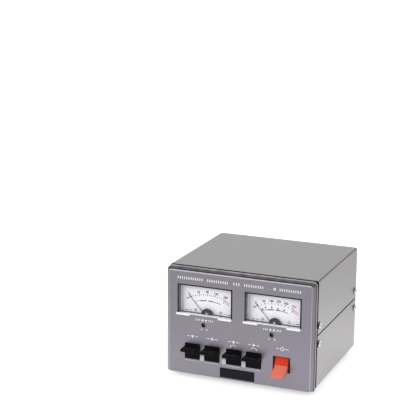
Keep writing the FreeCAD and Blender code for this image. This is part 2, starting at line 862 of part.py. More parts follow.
def power_switch_body():
    well = power_paddle_width / 2 + power_side_gap
    outer_x = well + power_body_wall
    well_radius = power_root_radius + power_side_gap
    outer_z = well_radius + power_body_wall
    z = power_pivot_height
    body = box(power_place - outer_x, power_place + outer_x, panel_wall, power_body_depth,
               z - outer_z, z + outer_z)
    body = body.cut(box(power_place - well, power_place + well, panel_wall - 1,
                        panel_wall + power_well_depth, z - well_radius, z + well_radius))
    body = body.cut(rod_x(power_place - outer_x - 1, power_place + outer_x + 1, power_pivot_back, z,
                          power_pin_radius + thread_gap))
    return body.fuse(Part.makeCompound(power_blades())).removeSplitter()


def power_pivot_pin():
    outer_x = power_paddle_width / 2 + power_side_gap + power_body_wall
    return rod_x(power_place - outer_x, power_place + outer_x, power_pivot_back, power_pivot_height,
                 power_pin_radius)


def power_blades():
    blades = []
    for side in (-1, 1):
        for row in (-1, 1):
            x = power_place + side * power_paddle_width / 4
            z = power_pivot_height + row * power_root_radius / 2
            blades.append(box(x - power_blade_thickness / 2, x + power_blade_thickness / 2, power_body_depth,
                              power_body_depth + power_blade_length, z - power_blade_width / 2,
                              z + power_blade_width / 2))
    return blades


def front_board():
    board = box(-front_board_half, front_board_half, front_board_back, front_board_rear,
                front_board_bottom, front_board_top)
    clear = power_paddle_width / 2 + power_side_gap + power_body_wall + 1
    rise = power_root_radius + power_side_gap + power_body_wall + 1
    holes = [box(power_place - clear, power_place + clear, front_board_back - 1, front_board_rear + 1,
                 power_pivot_height - rise, power_pivot_height + rise)]
    for side in (-1, 1):
        for z in (front_boss_low, front_boss_high):
            holes.append(rod_y(side * front_boss_place, front_board_back - 1, front_board_rear + 1, z,
                               board_screw_radius + screw_gap))
    return board.cut(Part.makeCompound(holes))


def board_screws():
    screw = cross_screw(board_screw_head, board_screw_proud, board_screw_radius, board_screw_reach)
    places = [(side * front_boss_place, z) for side in (-1, 1) for z in (front_boss_low, front_boss_high)]
    screws = [aim(screw, Vector(0, 1, 0), Vector(x, front_board_rear, z)) for x, z in places]
    screws += [aim(screw, Vector(0, 0, 1), Vector(x, y, main_board_top)) for x, y in standoff_points()]
    return screws


def strip_half():
    return (strip_poles * strip_pitch + strip_barrier) / 2


def strip_ear_centre():
    return strip_half() + strip_ear / 2


def terminal_points(x):
    points = []
    for pole in range(strip_poles):
        px = x - strip_half() + strip_barrier / 2 + strip_pitch * (pole + 0.5)
        for side in (-1, 1):
            points.append((px, strip_height + side * terminal_screw_spread))
    return points


def terminal_strip(x):
    low = strip_height - strip_tall / 2
    high = strip_height + strip_tall / 2
    width = strip_half()
    body = box(x - width, x + width, rear_outer, rear_outer + strip_base, low, high)
    ears = width + strip_ear
    body = body.fuse(box(x - ears, x + ears, rear_outer, rear_outer + strip_ear_depth, low + strip_tall / 4,
                         high - strip_tall / 4))
    for barrier in range(strip_poles + 1):
        bx = x - width + strip_pitch * barrier
        body = body.fuse(box(bx, bx + strip_barrier, rear_outer,
                             rear_outer + strip_base + strip_barrier_rise, low, high))
    holes = [rod_y(px, rear_outer + strip_base - terminal_screw_reach - 0.5, rear_outer + strip_base + 1, pz,
                   terminal_screw_radius + thread_gap) for px, pz in terminal_points(x)]
    for side in (-1, 1):
        holes.append(rod_y(x + side * strip_ear_centre(), rear_outer - 1, rear_outer + strip_ear_depth + 1,
                           strip_height, terminal_screw_radius + screw_gap))
    return body.cut(Part.makeCompound(holes)).removeSplitter()


def terminal_screws():
    screw = slotted_screw(terminal_screw_head, terminal_screw_proud, terminal_screw_radius,
                          terminal_screw_reach)
    seat = rear_outer + strip_base
    points = [point for x in strip_places.values() for point in terminal_points(x)]
    return [aim(screw, Vector(0, 1, 0), Vector(px, seat, pz)) for px, pz in points]


def strip_screws():
    screw = cross_screw(terminal_screw_head, terminal_screw_proud, terminal_screw_radius, strip_screw_reach)
    seat = rear_outer + strip_ear_depth
    places = [x + side * strip_ear_centre() for x in strip_places.values() for side in (-1, 1)]
    return [aim(screw, Vector(0, 1, 0), Vector(x, seat, strip_height)) for x in places]


def control_socket():
    front = rear_outer + socket_proud - socket_length
    shape = rod_y(socket_place, front, rear_outer + socket_proud, socket_height, socket_radius - run_gap)
    shape = shape.fuse(rod_y(socket_place, rear_outer, rear_outer + socket_flange_thickness, socket_height,
                             socket_flange))
    floor = rear_outer + socket_proud - socket_recess
    shape = shape.cut(rod_y(socket_place, floor, rear_outer + socket_proud + 1, socket_height, socket_bore))
    for pin in range(socket_pins):
        angle = math.radians(360 / socket_pins * pin + 30)
        px = socket_place + socket_pin_circle * math.cos(angle)
        pz = socket_height + socket_pin_circle * math.sin(angle)
        shape = shape.cut(rod_y(px, floor - socket_pin_depth, floor + 1, pz, socket_pin_hole))
    return shape.removeSplitter()


def fuse_holder():
    front = rear_outer - fuse_body_length
    shape = rod_y(fuse_place, front, rear_outer + fuse_flange_thickness, fuse_height_up,
                  fuse_body_radius - run_gap)
    shape = shape.fuse(rod_y(fuse_place, rear_outer, rear_outer + fuse_flange_thickness, fuse_height_up,
                             fuse_flange))
    return shape.cut(rod_y(fuse_place, front + 2, rear_outer + fuse_flange_thickness + 1, fuse_height_up,
                           fuse_bore)).removeSplitter()


def fuse_cap():
    seat = rear_outer + fuse_flange_thickness
    cap = rod_y(fuse_place, seat, seat + fuse_cap_length, fuse_height_up, fuse_cap_radius)
    rim = edges_where(cap, lambda p: near(p.y, seat + fuse_cap_length))
    cap = cap.makeFillet(1.0, rim)
    slot = box(fuse_place - fuse_cap_radius, fuse_place + fuse_cap_radius, seat + fuse_cap_length - 1.6,
               seat + fuse_cap_length + 1, fuse_height_up - 0.7, fuse_height_up + 0.7)
    plug = rod_y(fuse_place, seat - fuse_cap_plug, seat, fuse_height_up, fuse_plug_radius)
    return cap.cut(slot).fuse(plug).removeSplitter()


def fuse_link():
    end = rear_outer + fuse_flange_thickness - fuse_cap_plug
    glass = rod_y(fuse_place, end - fuse_length, end, fuse_height_up, fuse_radius - fuse_ferrule)
    for y0 in (end - fuse_length, end - fuse_ferrule_length):
        glass = glass.fuse(rod_y(fuse_place, y0, y0 + fuse_ferrule_length, fuse_height_up, fuse_radius))
    return glass.removeSplitter()


def cord_gland():
    seat = rear_outer + gland_flange_thickness
    shape = rod_y(gland_place, rear_inner - gland_lock_thickness, seat, gland_height, gland_neck - run_gap)
    shape = shape.fuse(rod_y(gland_place, rear_outer, seat, gland_height, gland_flange))
    shape = shape.fuse(rod_y(gland_place, rear_inner - gland_lock_thickness, rear_inner, gland_height,
                             gland_neck + 1.5))
    shape = shape.fuse(Part.makeCone(gland_nose_radius, gland_nose_radius - 1.2, gland_nose,
                                     Vector(gland_place, seat, gland_height), Vector(0, 1, 0)))
    return shape.cut(rod_y(gland_place, 0, rear_reach + 1, gland_height, gland_bore)).removeSplitter()


def rear_adjuster_body(x):
    z = rear_adjuster_height
    body = rod_y(x, rear_inner - rear_adjuster_length, rear_inner, z, rear_adjuster_radius)
    bush = rod_y(x, rear_inner, rear_outer + rear_adjuster_proud / 2, z, rear_adjuster_bush - run_gap)
    bore = rod_y(x, rear_inner - rear_adjuster_length / 2, rear_outer + rear_adjuster_proud, z,
                 rear_adjuster_shaft + run_gap)
    return body.fuse(bush).cut(bore).removeSplitter()


def rear_adjuster_rotor(x):
    z = rear_adjuster_height
    end = rear_outer + rear_adjuster_proud
    shaft = rod_y(x, rear_inner - rear_adjuster_length / 2 + run_gap, end, z, rear_adjuster_shaft)
    slot = box(x - adjuster_slot_width / 2, x + adjuster_slot_width / 2, end - adjuster_slot_depth, end + 1,
               z - rear_adjuster_radius, z + rear_adjuster_radius)
    return shaft.cut(slot)


def main_board_edges():
    x0 = main_board_place - main_board_width / 2
    return x0, x0 + main_board_width, main_board_front, main_board_front + main_board_length


def standoff_points():
    x0, x1, y0, y1 = main_board_edges()
    i = standoff_inset
    return [(x, y) for x in (x0 + i, x1 - i) for y in (y0 + i, y1 - i)]


def main_board():
    x0, x1, y0, y1 = main_board_edges()
    board = box(x0, x1, y0, y1, main_board_low, main_board_top)
    bore = board_screw_radius + screw_gap
    holes = [rod_z(x, y, 0, main_board_top + 1, bore) for x, y in standoff_points()]
    return board.cut(Part.makeCompound(holes))


def board_standoffs():
    posts = []
    for x, y in standoff_points():
        post = rod_z(x, y, floor_top, main_board_low, standoff_radius)
        posts.append(post.cut(rod_z(x, y, 0, main_board_top, board_screw_radius + thread_gap)))
    return posts


def relays():
    x0, x1, y0, y1 = main_board_edges()
    first = (x0 + x1) / 2 - relay_pitch * (relay_count - 1) / 2
    made = []
    for index in range(relay_count):
        x = first + relay_pitch * index
        made.append(box(x - relay_width / 2, x + relay_width / 2, y0 + relay_front,
                        y0 + relay_front + relay_length, main_board_top, main_board_top + relay_tall))
    return made


def capacitors():
    x0, x1, y0, y1 = main_board_edges()
    first = (x0 + x1) / 2 - capacitor_pitch * (capacitor_count - 1) / 2
    made = []
    for index in range(capacitor_count):
        can = rod_z(first + capacitor_pitch * index, y0 + capacitor_front, main_board_top,
                    main_board_top + capacitor_tall, capacitor_radius)
        rim = edges_where(can, lambda p: near(p.z, main_board_top + capacitor_tall))
        made.append(can.makeFillet(1.2, rim))
    return made


def bridge_rectifier():
    x0, x1, y0, y1 = main_board_edges()
    x = (x0 + x1) / 2
    y = y0 + rectifier_front
    return box(x - rectifier_width / 2, x + rectifier_width / 2, y, y + rectifier_thickness,
               main_board_top, main_board_top + rectifier_tall)


def transformer_core():
    low = floor_top
    shape = box(core_place - core_width / 2, core_place + core_width / 2,
                core_front, core_front + core_stack, low, low + core_tall)
    for side in (-1, 1):
        x0 = core_place + side * core_leg
        x1 = core_place + side * (core_width / 2 - core_leg)
        shape = shape.cut(box(min(x0, x1), max(x0, x1), core_front - 1, core_front + core_stack + 1,
                              low + core_leg, low + core_tall - core_leg))
    return shape


def transformer_winding():
    low = floor_top + core_leg + winding_gap
    high = floor_top + core_tall - core_leg - winding_gap
    reach = core_width / 2 - core_leg - winding_gap
    outer = box(core_place - reach, core_place + reach, core_front - winding_overhang,
                core_front + core_stack + winding_overhang, low, high)
    posts = edges_where(outer, lambda p: True)
    outer = outer.makeFillet(3.0, [edge for edge in posts if near(edge.BoundBox.ZLength, high - low)])
    leg = core_leg + winding_gap
    return outer.cut(box(core_place - leg, core_place + leg, core_front - winding_gap,
                         core_front + core_stack + winding_gap, low - 1, high + 1))


def core_screw_points():
    reach = core_width / 2 + strap + strap_foot / 2
    middle = core_front + core_stack / 2
    return [(core_place + side * reach, middle) for side in (-1, 1)]


def transformer_bracket():
    low = floor_top
    side = core_width / 2 + winding_gap
    top = low + core_tall
    y0 = core_front + core_stack / 4
    y1 = core_front + core_stack * 3 / 4
    base = box(core_place - side - strap, core_place + side + strap, y0, y1, low, top + strap)
    hollow = box(core_place - side, core_place + side, y0 - 1, y1 + 1, low - 1, top)
    shape = base.cut(hollow)
    for edge in (-1, 1):
        x0 = core_place + edge * side
        x1 = core_place + edge * (side + strap + strap_foot)
        shape = shape.fuse(box(min(x0, x1), max(x0, x1), y0, y1, low, low + strap))
    bore = core_screw_radius + screw_gap
    holes = [rod_z(x, y, low - 1, low + strap + 1, bore) for x, y in core_screw_points()]
    return shape.cut(Part.makeCompound(holes)).removeSplitter()


def transformer_screws():
    screw = cross_screw(core_screw_head, core_screw_proud, core_screw_radius, strap + sheet)
    z = floor_top + strap
    return [aim(screw, Vector(0, 0, 1), Vector(x, y, z)) for x, y in core_screw_points()]


def make_pieces():
    pieces = {
        "front_panel": front_panel(),
        "top_cover": top_cover(),
        "bottom_cover": bottom_cover(),
        "chassis": chassis(),
        "rear_panel": rear_panel(),
        "cover_screws": cover_screws(),
        "rubber_feet": rubber_feet(),
        "foot_screws": foot_screws(),
        "badge_plate": badge_plate(),
        "key_pivot_rod": key_pivot_rod(),
        "key_switches": key_switches(),
        "power_paddle": power_paddle(),
        "power_switch_body": power_switch_body(),
        "power_pivot_pin": power_pivot_pin(),
        "front_board": front_board(),
        "board_screws": board_screws(),
        "front_adjusters": [adjuster_body(x) for x in adjuster_places.values()],
        "strip_screws": strip_screws(),
        "terminal_screws": terminal_screws(),
        "control_socket": control_socket(),
        "fuse_holder": fuse_holder(),
        "fuse_cap": fuse_cap(),
        "fuse_link": fuse_link(),
        "cord_gland": cord_gland(),
        "rear_adjusters": [rear_adjuster_body(x) for x in rear_adjusters.values()],
        "main_board": main_board(),
        "board_standoffs": board_standoffs(),
        "relays": relays(),
        "capacitors": capacitors(),
        "bridge_rectifier": bridge_rectifier(),
        "transformer_core": transformer_core(),
        "transformer_winding": transformer_winding(),
        "transformer_bracket": transformer_bracket(),
        "transformer_screws": transformer_screws(),
    }
    for side, x in meter_places.items():
        pieces[side + "_meter_case"] = meter_case(x)
        pieces[side + "_meter_lens"] = meter_lens(x)
        pieces[side + "_dial_plate"] = dial_plate(x)
        pieces[side + "_pointer"] = pointer(x)
        pieces[side + "_meter_coil"] = meter_coil(x)
        pieces[side + "_meter_magnet"] = meter_magnet(x)
        pieces[side + "_pivot_shroud"] = pivot_shroud(x)
        pieces[side + "_zero_screw"] = zero_screw(x)
    for side, x in adjuster_places.items():
        pieces[side + "_adjuster_rotor"] = adjuster_rotor_shape(x)
    for name, x in key_places.items():
        pieces[name + "_key"] = key(x)
    for name, x in rear_adjusters.items():
        pieces[name + "_rotor"] = rear_adjuster_rotor(x)
    for name, x in strip_places.items():
        pieces[name + "_terminals"] = terminal_strip(x)
    return pieces


def save_pieces(pieces):
    os.makedirs("parts", exist_ok=True)
    for name, shape in pieces.items():
        if isinstance(shape, list):
            shape = Part.makeCompound(shape)
        placed = shape.copy()
        placed.translate(Vector(0, -origin_back, foot_height))
        placed.exportStep("parts/" + name + ".step")
    print(len(pieces), "pieces, origin", origin_back, "mm behind the face")


save_pieces(make_pieces())
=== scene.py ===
import math

import bpy
import bmesh
from mathutils import Matrix, Vector


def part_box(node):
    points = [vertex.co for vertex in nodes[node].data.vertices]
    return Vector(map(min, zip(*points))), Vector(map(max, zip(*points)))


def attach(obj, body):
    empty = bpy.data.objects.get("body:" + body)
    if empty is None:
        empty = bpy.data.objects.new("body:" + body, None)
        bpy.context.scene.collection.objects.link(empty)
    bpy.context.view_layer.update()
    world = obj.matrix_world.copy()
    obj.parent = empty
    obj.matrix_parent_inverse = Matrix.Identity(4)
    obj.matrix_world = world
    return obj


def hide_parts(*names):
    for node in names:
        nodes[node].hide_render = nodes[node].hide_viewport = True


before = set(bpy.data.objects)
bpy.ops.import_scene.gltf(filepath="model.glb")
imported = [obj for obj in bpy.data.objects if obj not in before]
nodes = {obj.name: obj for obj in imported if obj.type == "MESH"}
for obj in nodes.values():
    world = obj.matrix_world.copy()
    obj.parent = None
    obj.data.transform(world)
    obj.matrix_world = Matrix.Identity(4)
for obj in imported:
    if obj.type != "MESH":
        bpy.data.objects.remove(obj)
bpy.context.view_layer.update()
scene = bpy.context.scene
mm = 0.001
print("frame loaded:", len(nodes), "nodes")

# Planes that the printing and the trim sit on
panelLow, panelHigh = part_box("front_panel")
panelFace = panelLow.y
caseFloor = panelLow.z
seam = caseFloor + (panelHigh.z - panelLow.z) / 2
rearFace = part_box("rear_panel")[1].y
facingFront = Matrix.Rotation(math.radians(90), 4, "X")
facingRear = Matrix.Rotation(math.radians(180), 4, "Z") @ facingFront
sides = ("left", "right")
keyNames = ("down", "up", "left", "right")


def newNode(tree, kind, **inputs):
    made = tree.nodes.new(kind)
    for name, value in inputs.items():
        made.inputs[name].default_value = value
    return made


# An output is linked to the socket, anything else is set on it
def feed(tree, socket, value):
    if isinstance(value, bpy.types.NodeSocket):
        tree.links.new(value, socket)
    else:
        socket.default_value = value


def remap(tree, value, low, high, toLow=0.0, toHigh=1.0):
    limits = {"From Min": low, "From Max": high, "To Min": toLow, "To Max": toHigh}
    node = newNode(tree, "ShaderNodeMapRange", **limits)
    tree.links.new(value, node.inputs["Value"])
    return node.outputs["Result"]


# size is the width of one patch in metres
def objectNoise(tree, size, stretch=(1, 1, 1), detail=3.0):
    where = tree.nodes.new("ShaderNodeTexCoord")
    mapping = newNode(tree, "ShaderNodeMapping", Scale=stretch)
    noise = newNode(tree, "ShaderNodeTexNoise", Scale=1 / size, Detail=detail)
    tree.links.new(where.outputs["Object"], mapping.inputs["Vector"])
    tree.links.new(mapping.outputs["Vector"], noise.inputs["Vector"])
    return noise.outputs["Fac"]


def splitAxis(tree, coordinates, axis):
    where = tree.nodes.new("ShaderNodeTexCoord")
    split = tree.nodes.new("ShaderNodeSeparateXYZ")
    tree.links.new(where.outputs[coordinates], split.inputs[0])
    return split.outputs[axis]


def objectAxis(tree, axis):
    return splitAxis(tree, "Object", axis)


# first and second are colours or outputs, factor an output or a number
def mixColor(tree, factor, first, second, blend="MIX"):
    mix = tree.nodes.new("ShaderNodeMix")
    mix.data_type = "RGBA"
    mix.blend_type = blend
    feed(tree, mix.inputs[0], factor)
    for socket, color in ((6, first), (7, second)):
        feed(tree, mix.inputs[socket], (*color, 1) if isinstance(color, tuple) else color)
    return mix.outputs[2]


def mixValue(tree, factor, first, second):
    mix = tree.nodes.new("ShaderNodeMix")
    for socket, value in ((0, factor), (2, first), (3, second)):
        feed(tree, mix.inputs[socket], value)
    return mix.outputs[0]


def calc(tree, operation, first, second=0.0):
    step = tree.nodes.new("ShaderNodeMath")
    step.operation = operation
    feed(tree, step.inputs[0], first)
    feed(tree, step.inputs[1], second)
    return step.outputs[0]


# Colours in steps along one axis of the object; each stop is (mm from start, colour)
def bands(tree, axis, start, stops):
    room = 1.25
    span = stops[-1][0] * room * mm
    ramp = tree.nodes.new("ShaderNodeValToRGB")
    ramp.color_ramp.interpolation = "CONSTANT"
    elements = ramp.color_ramp.elements
    elements.remove(elements[1])
    elements[0].color = (*stops[0][1], 1)
    for reach, color in stops[1:]:
        elements.new(reach * mm / span).color = (*color, 1)
    tree.links.new(remap(tree, objectAxis(tree, axis), start, start + span), ramp.inputs["Fac"])
    return ramp.outputs["Color"]


def newMaterial(name, inputs):
    material = bpy.data.materials.new(name)
    material.use_nodes = True
    shader = material.node_tree.nodes["Principled BSDF"]
    for socket, value in inputs.items():
        shader.inputs[socket].default_value = value
    return material, material.node_tree, shader


def varyRoughness(tree, shader, patches, rough):
    tree.links.new(remap(tree, patches, 0.0, 1.0, *rough), shader.inputs["Roughness"])


def wear(material, names):
    for name in names:
        mesh = nodes[name].data
        mesh.materials.clear()
        mesh.materials.append(material)


def newFinish(name, look):
    material, tree, shader = newMaterial(name, look.get("shader", {}))
    stretch = look.get("stretch", (1, 1, 1))
    patches = objectNoise(tree, look["patch"], stretch)
    color = mixColor(tree, patches, look["color"], look["shade"])
    if "bands" in look:
        color = mixColor(tree, 1.0, color, bands(tree, *look["bands"]), "MULTIPLY")
    tree.links.new(color, shader.inputs["Base Color"])
    varyRoughness(tree, shader, patches, look["rough"])
    grain = objectNoise(tree, look["grain"], stretch, 2.0)
    bump = newNode(tree, "ShaderNodeBump", Strength=look["bump"], Distance=look["depth"])
    tree.links.new(grain, bump.inputs["Height"])
    tree.links.new(bump.outputs["Normal"], shader.inputs["Normal"])
    wear(material, look.get("on", ()))
    return material


def bothSides(*names):
    return [side + "_" + name for name in names for side in sides]


def addPiece(name, bm, material, body):
    mesh = bpy.data.meshes.new(name)
    bm.to_mesh(mesh)
    bm.free()
    mesh.materials.append(material)
    piece = bpy.data.objects.new(name, mesh)
    scene.collection.objects.link(piece)
    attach(piece, body)
    return piece


print("helpers ready")

# One finish per kind of surface, and the CAD nodes that wear it
plain = (1, 1, 1)
# painted shade for the chassis seen through the seam between the covers
seamShade = (0.04, 0.04, 0.04)
finishes = {
    "panelPaint": {"on": ["front_panel"],
                   "color": (0.98, 0.98, 0.98), "shade": (1.0, 1.0, 1.0), "patch": 0.03,
                   "rough": (0.34, 0.40), "grain": 0.0005, "bump": 0.12, "depth": 0.00005,
                   "shader": {"Metallic": 0.85}},
    "coverPaint": {"on": ["top_cover", "bottom_cover"],
                   "color": (0.368, 0.356, 0.360), "shade": (0.388, 0.376, 0.380), "patch": 0.04,
                   "rough": (0.38, 0.44), "grain": 0.0005, "bump": 0.12, "depth": 0.00005,
                   "shader": {"Metallic": 0.8}},
    "rearPaint": {"on": ["rear_panel"],
                  "color": (0.40, 0.385, 0.375), "shade": (0.42, 0.405, 0.395), "patch": 0.04,
                  "rough": (0.42, 0.5), "grain": 0.0006, "bump": 0.15, "depth": 0.00005,
                  "shader": {"Metallic": 0.7}},
    "chassisSteel": {"on": ["chassis", "transformer_bracket"],
                     "color": (0.33, 0.33, 0.34), "shade": (0.38, 0.37, 0.34), "patch": 0.02,
                     "rough": (0.32, 0.45), "grain": 0.0008, "bump": 0.1, "depth": 0.00004,
                     "shader": {"Metallic": 1.0},
                     # painted shade: a dark band round the chassis behind the seam between the covers
                     "bands": (2, 0, [(0, plain), (seam / mm - 3, seamShade), (seam / mm + 3, plain)])},
    "nickel": {"on": ["cover_screws", "foot_screws", "board_screws", "strip_screws", "terminal_screws",
                      "transformer_screws"] + bothSides("zero_screw"),
               "color": (0.74, 0.735, 0.74), "shade": (0.64, 0.635, 0.64), "patch": 0.003,
               "rough": (0.14, 0.24), "grain": 0.0004, "bump": 0.15, "depth": 0.00003,
               "shader": {"Metallic": 1.0}},
    "rubber": {"on": ["rubber_feet"],
               "color": (0.022, 0.022, 0.022), "shade": (0.035, 0.034, 0.033), "patch": 0.006,
               "rough": (0.7, 0.85), "grain": 0.0004, "bump": 0.35, "depth": 0.0001},
    "badgeBlack": {"on": ["badge_plate"],
                   "color": (0.006, 0.006, 0.01), "shade": (0.009, 0.009, 0.014), "patch": 0.01,
                   "rough": (0.2, 0.28), "grain": 0.001, "bump": 0.04, "depth": 0.00003,
                   "shader": {"Specular IOR Level": 0.12}},
    # light grey for the painted light patches between and under the keys
    "litPatchGrey": {"color": (0.62, 0.61, 0.64), "shade": (0.52, 0.51, 0.54), "patch": 0.002,
                  "stretch": (3, 1, 0.1), "rough": (0.35, 0.45), "grain": 0.0005, "bump": 0.1,
                  "depth": 0.00004},
    "steelRod": {"on": ["key_pivot_rod", "power_pivot_pin"],
                 "color": (0.5, 0.5, 0.5), "shade": (0.44, 0.44, 0.45), "patch": 0.004,
                 "stretch": (0.1, 1, 1), "rough": (0.2, 0.3), "grain": 0.0003, "bump": 0.1,
                 "depth": 0.00003, "shader": {"Metallic": 1.0}},
    "blackPlastic": {"on": ["key_switches", "power_switch_body", "fuse_holder", "fuse_cap",
                            "bridge_rectifier", "cord_gland", "front_adjusters"],
                     "color": (0.02, 0.02, 0.02), "shade": (0.028, 0.028, 0.028), "patch": 0.006,
                     "rough": (0.45, 0.58), "grain": 0.0004, "bump": 0.2, "depth": 0.00006},
    "paddleOrange": {"on": ["power_paddle"],
                     "color": (0.76, 0.17, 0.115), "shade": (0.79, 0.185, 0.125), "patch": 0.006,
                     "rough": (0.3, 0.4), "grain": 0.0006, "bump": 0.08, "depth": 0.00005,
                     # painted shade: the paddle's upper part by the panel is painted darker and deeper orange
                     # than its lever, which faces the light
                     "bands": (1, panelFace - 20 * mm, [(0, plain), (18.4, (0.80, 0.21, 0.05))]),
                     "shader": {"Specular IOR Level": 0.1}},
    "boardGreen": {"on": ["front_board", "main_board"],
                   "color": (0.03, 0.16, 0.06), "shade": (0.04, 0.2, 0.08), "patch": 0.004,
                   "rough": (0.3, 0.45), "grain": 0.0008, "bump": 0.2, "depth": 0.00005},
    "adjusterBlue": {"on": ["rear_adjusters"],
                     "color": (0.04, 0.09, 0.3), "shade": (0.05, 0.11, 0.34), "patch": 0.004,
                     "rough": (0.3, 0.4), "grain": 0.0005, "bump": 0.1, "depth": 0.00004},
    "socketMetal": {"on": ["control_socket"],
                    "color": (0.62, 0.61, 0.6), "shade": (0.56, 0.55, 0.53), "patch": 0.005,
                    "rough": (0.16, 0.26), "grain": 0.0005, "bump": 0.08, "depth": 0.00003,
                    "shader": {"Metallic": 1.0}},
    "brass": {"on": ["board_standoffs", "rear_left_rotor", "rear_right_rotor"],
              "color": (0.62, 0.45, 0.2), "shade": (0.55, 0.38, 0.16), "patch": 0.003,
              "rough": (0.24, 0.36), "grain": 0.0004, "bump": 0.12, "depth": 0.00003,
              "shader": {"Metallic": 1.0}},
    "relayBlue": {"on": ["relays"],
                  "color": (0.04, 0.1, 0.26), "shade": (0.05, 0.12, 0.3), "patch": 0.006,
                  "rough": (0.28, 0.4), "grain": 0.0006, "bump": 0.1, "depth": 0.00005},
    "capacitorSleeve": {"on": ["capacitors"],
                        "color": (0.03, 0.03, 0.09), "shade": (0.04, 0.04, 0.11), "patch": 0.005,
                        "rough": (0.2, 0.32), "grain": 0.0007, "bump": 0.1, "depth": 0.00005},
    "coreIron": {"on": ["transformer_core"],
                 "color": (0.18, 0.17, 0.16), "shade": (0.24, 0.22, 0.2), "patch": 0.004,
                 "stretch": (0.15, 6, 0.15), "rough": (0.4, 0.6), "grain": 0.002, "bump": 0.5,
                 "depth": 0.0001, "shader": {"Metallic": 0.8}},
    "windingTape": {"on": ["transformer_winding"],
                    "color": (0.7, 0.52, 0.14), "shade": (0.6, 0.42, 0.1), "patch": 0.006,
                    "stretch": (0.2, 0.2, 3), "rough": (0.35, 0.5), "grain": 0.002, "bump": 0.3,
                    "depth": 0.0001},
    "meterGrey": {"on": bothSides("meter_case", "adjuster_rotor"),
                  "color": (0.14, 0.14, 0.16), "shade": (0.17, 0.17, 0.19), "patch": 0.008,
                  "rough": (0.45, 0.6), "grain": 0.0004, "bump": 0.15, "depth": 0.00005},
    "meterBlack": {"on": bothSides("pivot_shroud"),
                   "color": (0.008, 0.008, 0.009), "shade": (0.012, 0.012, 0.014), "patch": 0.008,
                   "rough": (0.45, 0.6), "grain": 0.0004, "bump": 0.15, "depth": 0.00005,
                   "shader": {"Specular IOR Level": 0.08}},
    "dialWhite": {"on": bothSides("dial_plate"),
                  "color": (0.93, 0.93, 0.98), "shade": (0.91, 0.91, 0.96), "patch": 0.03,
                  "rough": (0.4, 0.5), "grain": 0.0005, "bump": 0.05, "depth": 0.00003},
    "pointerBlack": {"on": bothSides("pointer"),
                     "color": (0.015, 0.015, 0.016), "shade": (0.022, 0.022, 0.022), "patch": 0.004,
                     "rough": (0.4, 0.5), "grain": 0.0005, "bump": 0.1, "depth": 0.00003},
    "copperWire": {"on": bothSides("meter_coil"),
                   "color": (0.5, 0.2, 0.08), "shade": (0.4, 0.15, 0.05), "patch": 0.001,
                   "stretch": (1, 0.1, 1), "rough": (0.25, 0.35), "grain": 0.0005, "bump": 0.5,
                   "depth": 0.0001, "shader": {"Metallic": 0.8}},
    "magnetIron": {"on": bothSides("meter_magnet"),
                   "color": (0.25, 0.25, 0.26), "shade": (0.3, 0.29, 0.29), "patch": 0.003,
                   "rough": (0.4, 0.55), "grain": 0.0008, "bump": 0.3, "depth": 0.00008,
                   "shader": {"Metallic": 1.0}},
    "keyBlack": {"on": [key + "_key" for key in keyNames],
                 "color": (0.0035, 0.0035, 0.004), "shade": (0.006, 0.006, 0.0065), "patch": 0.008,
                 "rough": (0.36, 0.44), "grain": 0.0005, "bump": 0.12, "depth": 0.00005,
                 "shader": {"Specular IOR Level": 0.05}},
    "terminalBlack": {"on": ["elevation_terminals", "azimuth_terminals"],
                      "color": (0.014, 0.014, 0.014), "shade": (0.02, 0.02, 0.02), "patch": 0.006,
                      "rough": (0.25, 0.38), "grain": 0.0005, "bump": 0.12, "depth": 0.00005},
    "printWhite": {"color": (0.82, 0.82, 0.84), "shade": (0.78, 0.78, 0.8), "patch": 0.004,
                   "rough": (0.5, 0.6), "grain": 0.0003, "bump": 0.1, "depth": 0.00002},
    "printBlack": {"color": (0.012, 0.012, 0.02), "shade": (0.02, 0.02, 0.03), "patch": 0.003,
                   "rough": (0.5, 0.6), "grain": 0.0003, "bump": 0.1, "depth": 0.00002},
    "printRed": {"color": (0.74, 0.2, 0.24), "shade": (0.70, 0.17, 0.21), "patch": 0.003,
                 "rough": (0.5, 0.6), "grain": 0.0003, "bump": 0.1, "depth": 0.00002},
}
made = {name: newFinish(name, look) for name, look in finishes.items()}


def baseColor(material):
    socket = material.node_tree.nodes["Principled BSDF"].inputs["Base Color"]
    return socket, socket.links[0].from_socket


# Paint of the front panel in steps back from just before its face, with painted light and shade: the face, a
# painted highlight on its edge, the bevel in painted shade (darker on the top than at the sides, and at the
# sides with a painted dark line behind it), the flat land behind it and the groove before the covers painted
# near black as shade; mm and colours
panelShadeSteps = {"start": 0.1,
              "top": [(0, (0.246, 0.230, 0.268)), (0.25, (0.95, 0.93, 0.98)), (1.35, (0.09, 0.087, 0.10)),
                      (2.6, (0.19, 0.18, 0.205)), (4.4, (0.34, 0.325, 0.35)), (9.1, (0.02, 0.02, 0.024))],
              "side": [(0, (0.246, 0.230, 0.268)), (0.25, (0.40, 0.385, 0.42)), (1.15, (0.235, 0.225, 0.255)),
                       (4.3, (0.07, 0.067, 0.078)), (5.4, (0.31, 0.295, 0.325)), (8.9, (0.02, 0.02, 0.024))]}

# Painted reflection streaks that lighten and darken the paint of the top bevel and the top land, none on the
# face
bevelStreaks = {"patch": 0.009, "stretch": (1, 0.6, 0.6), "detail": 1.0, "noise": (0.35, 0.65),
          "lift": (0.78, 1.22), "behind": 0.9}


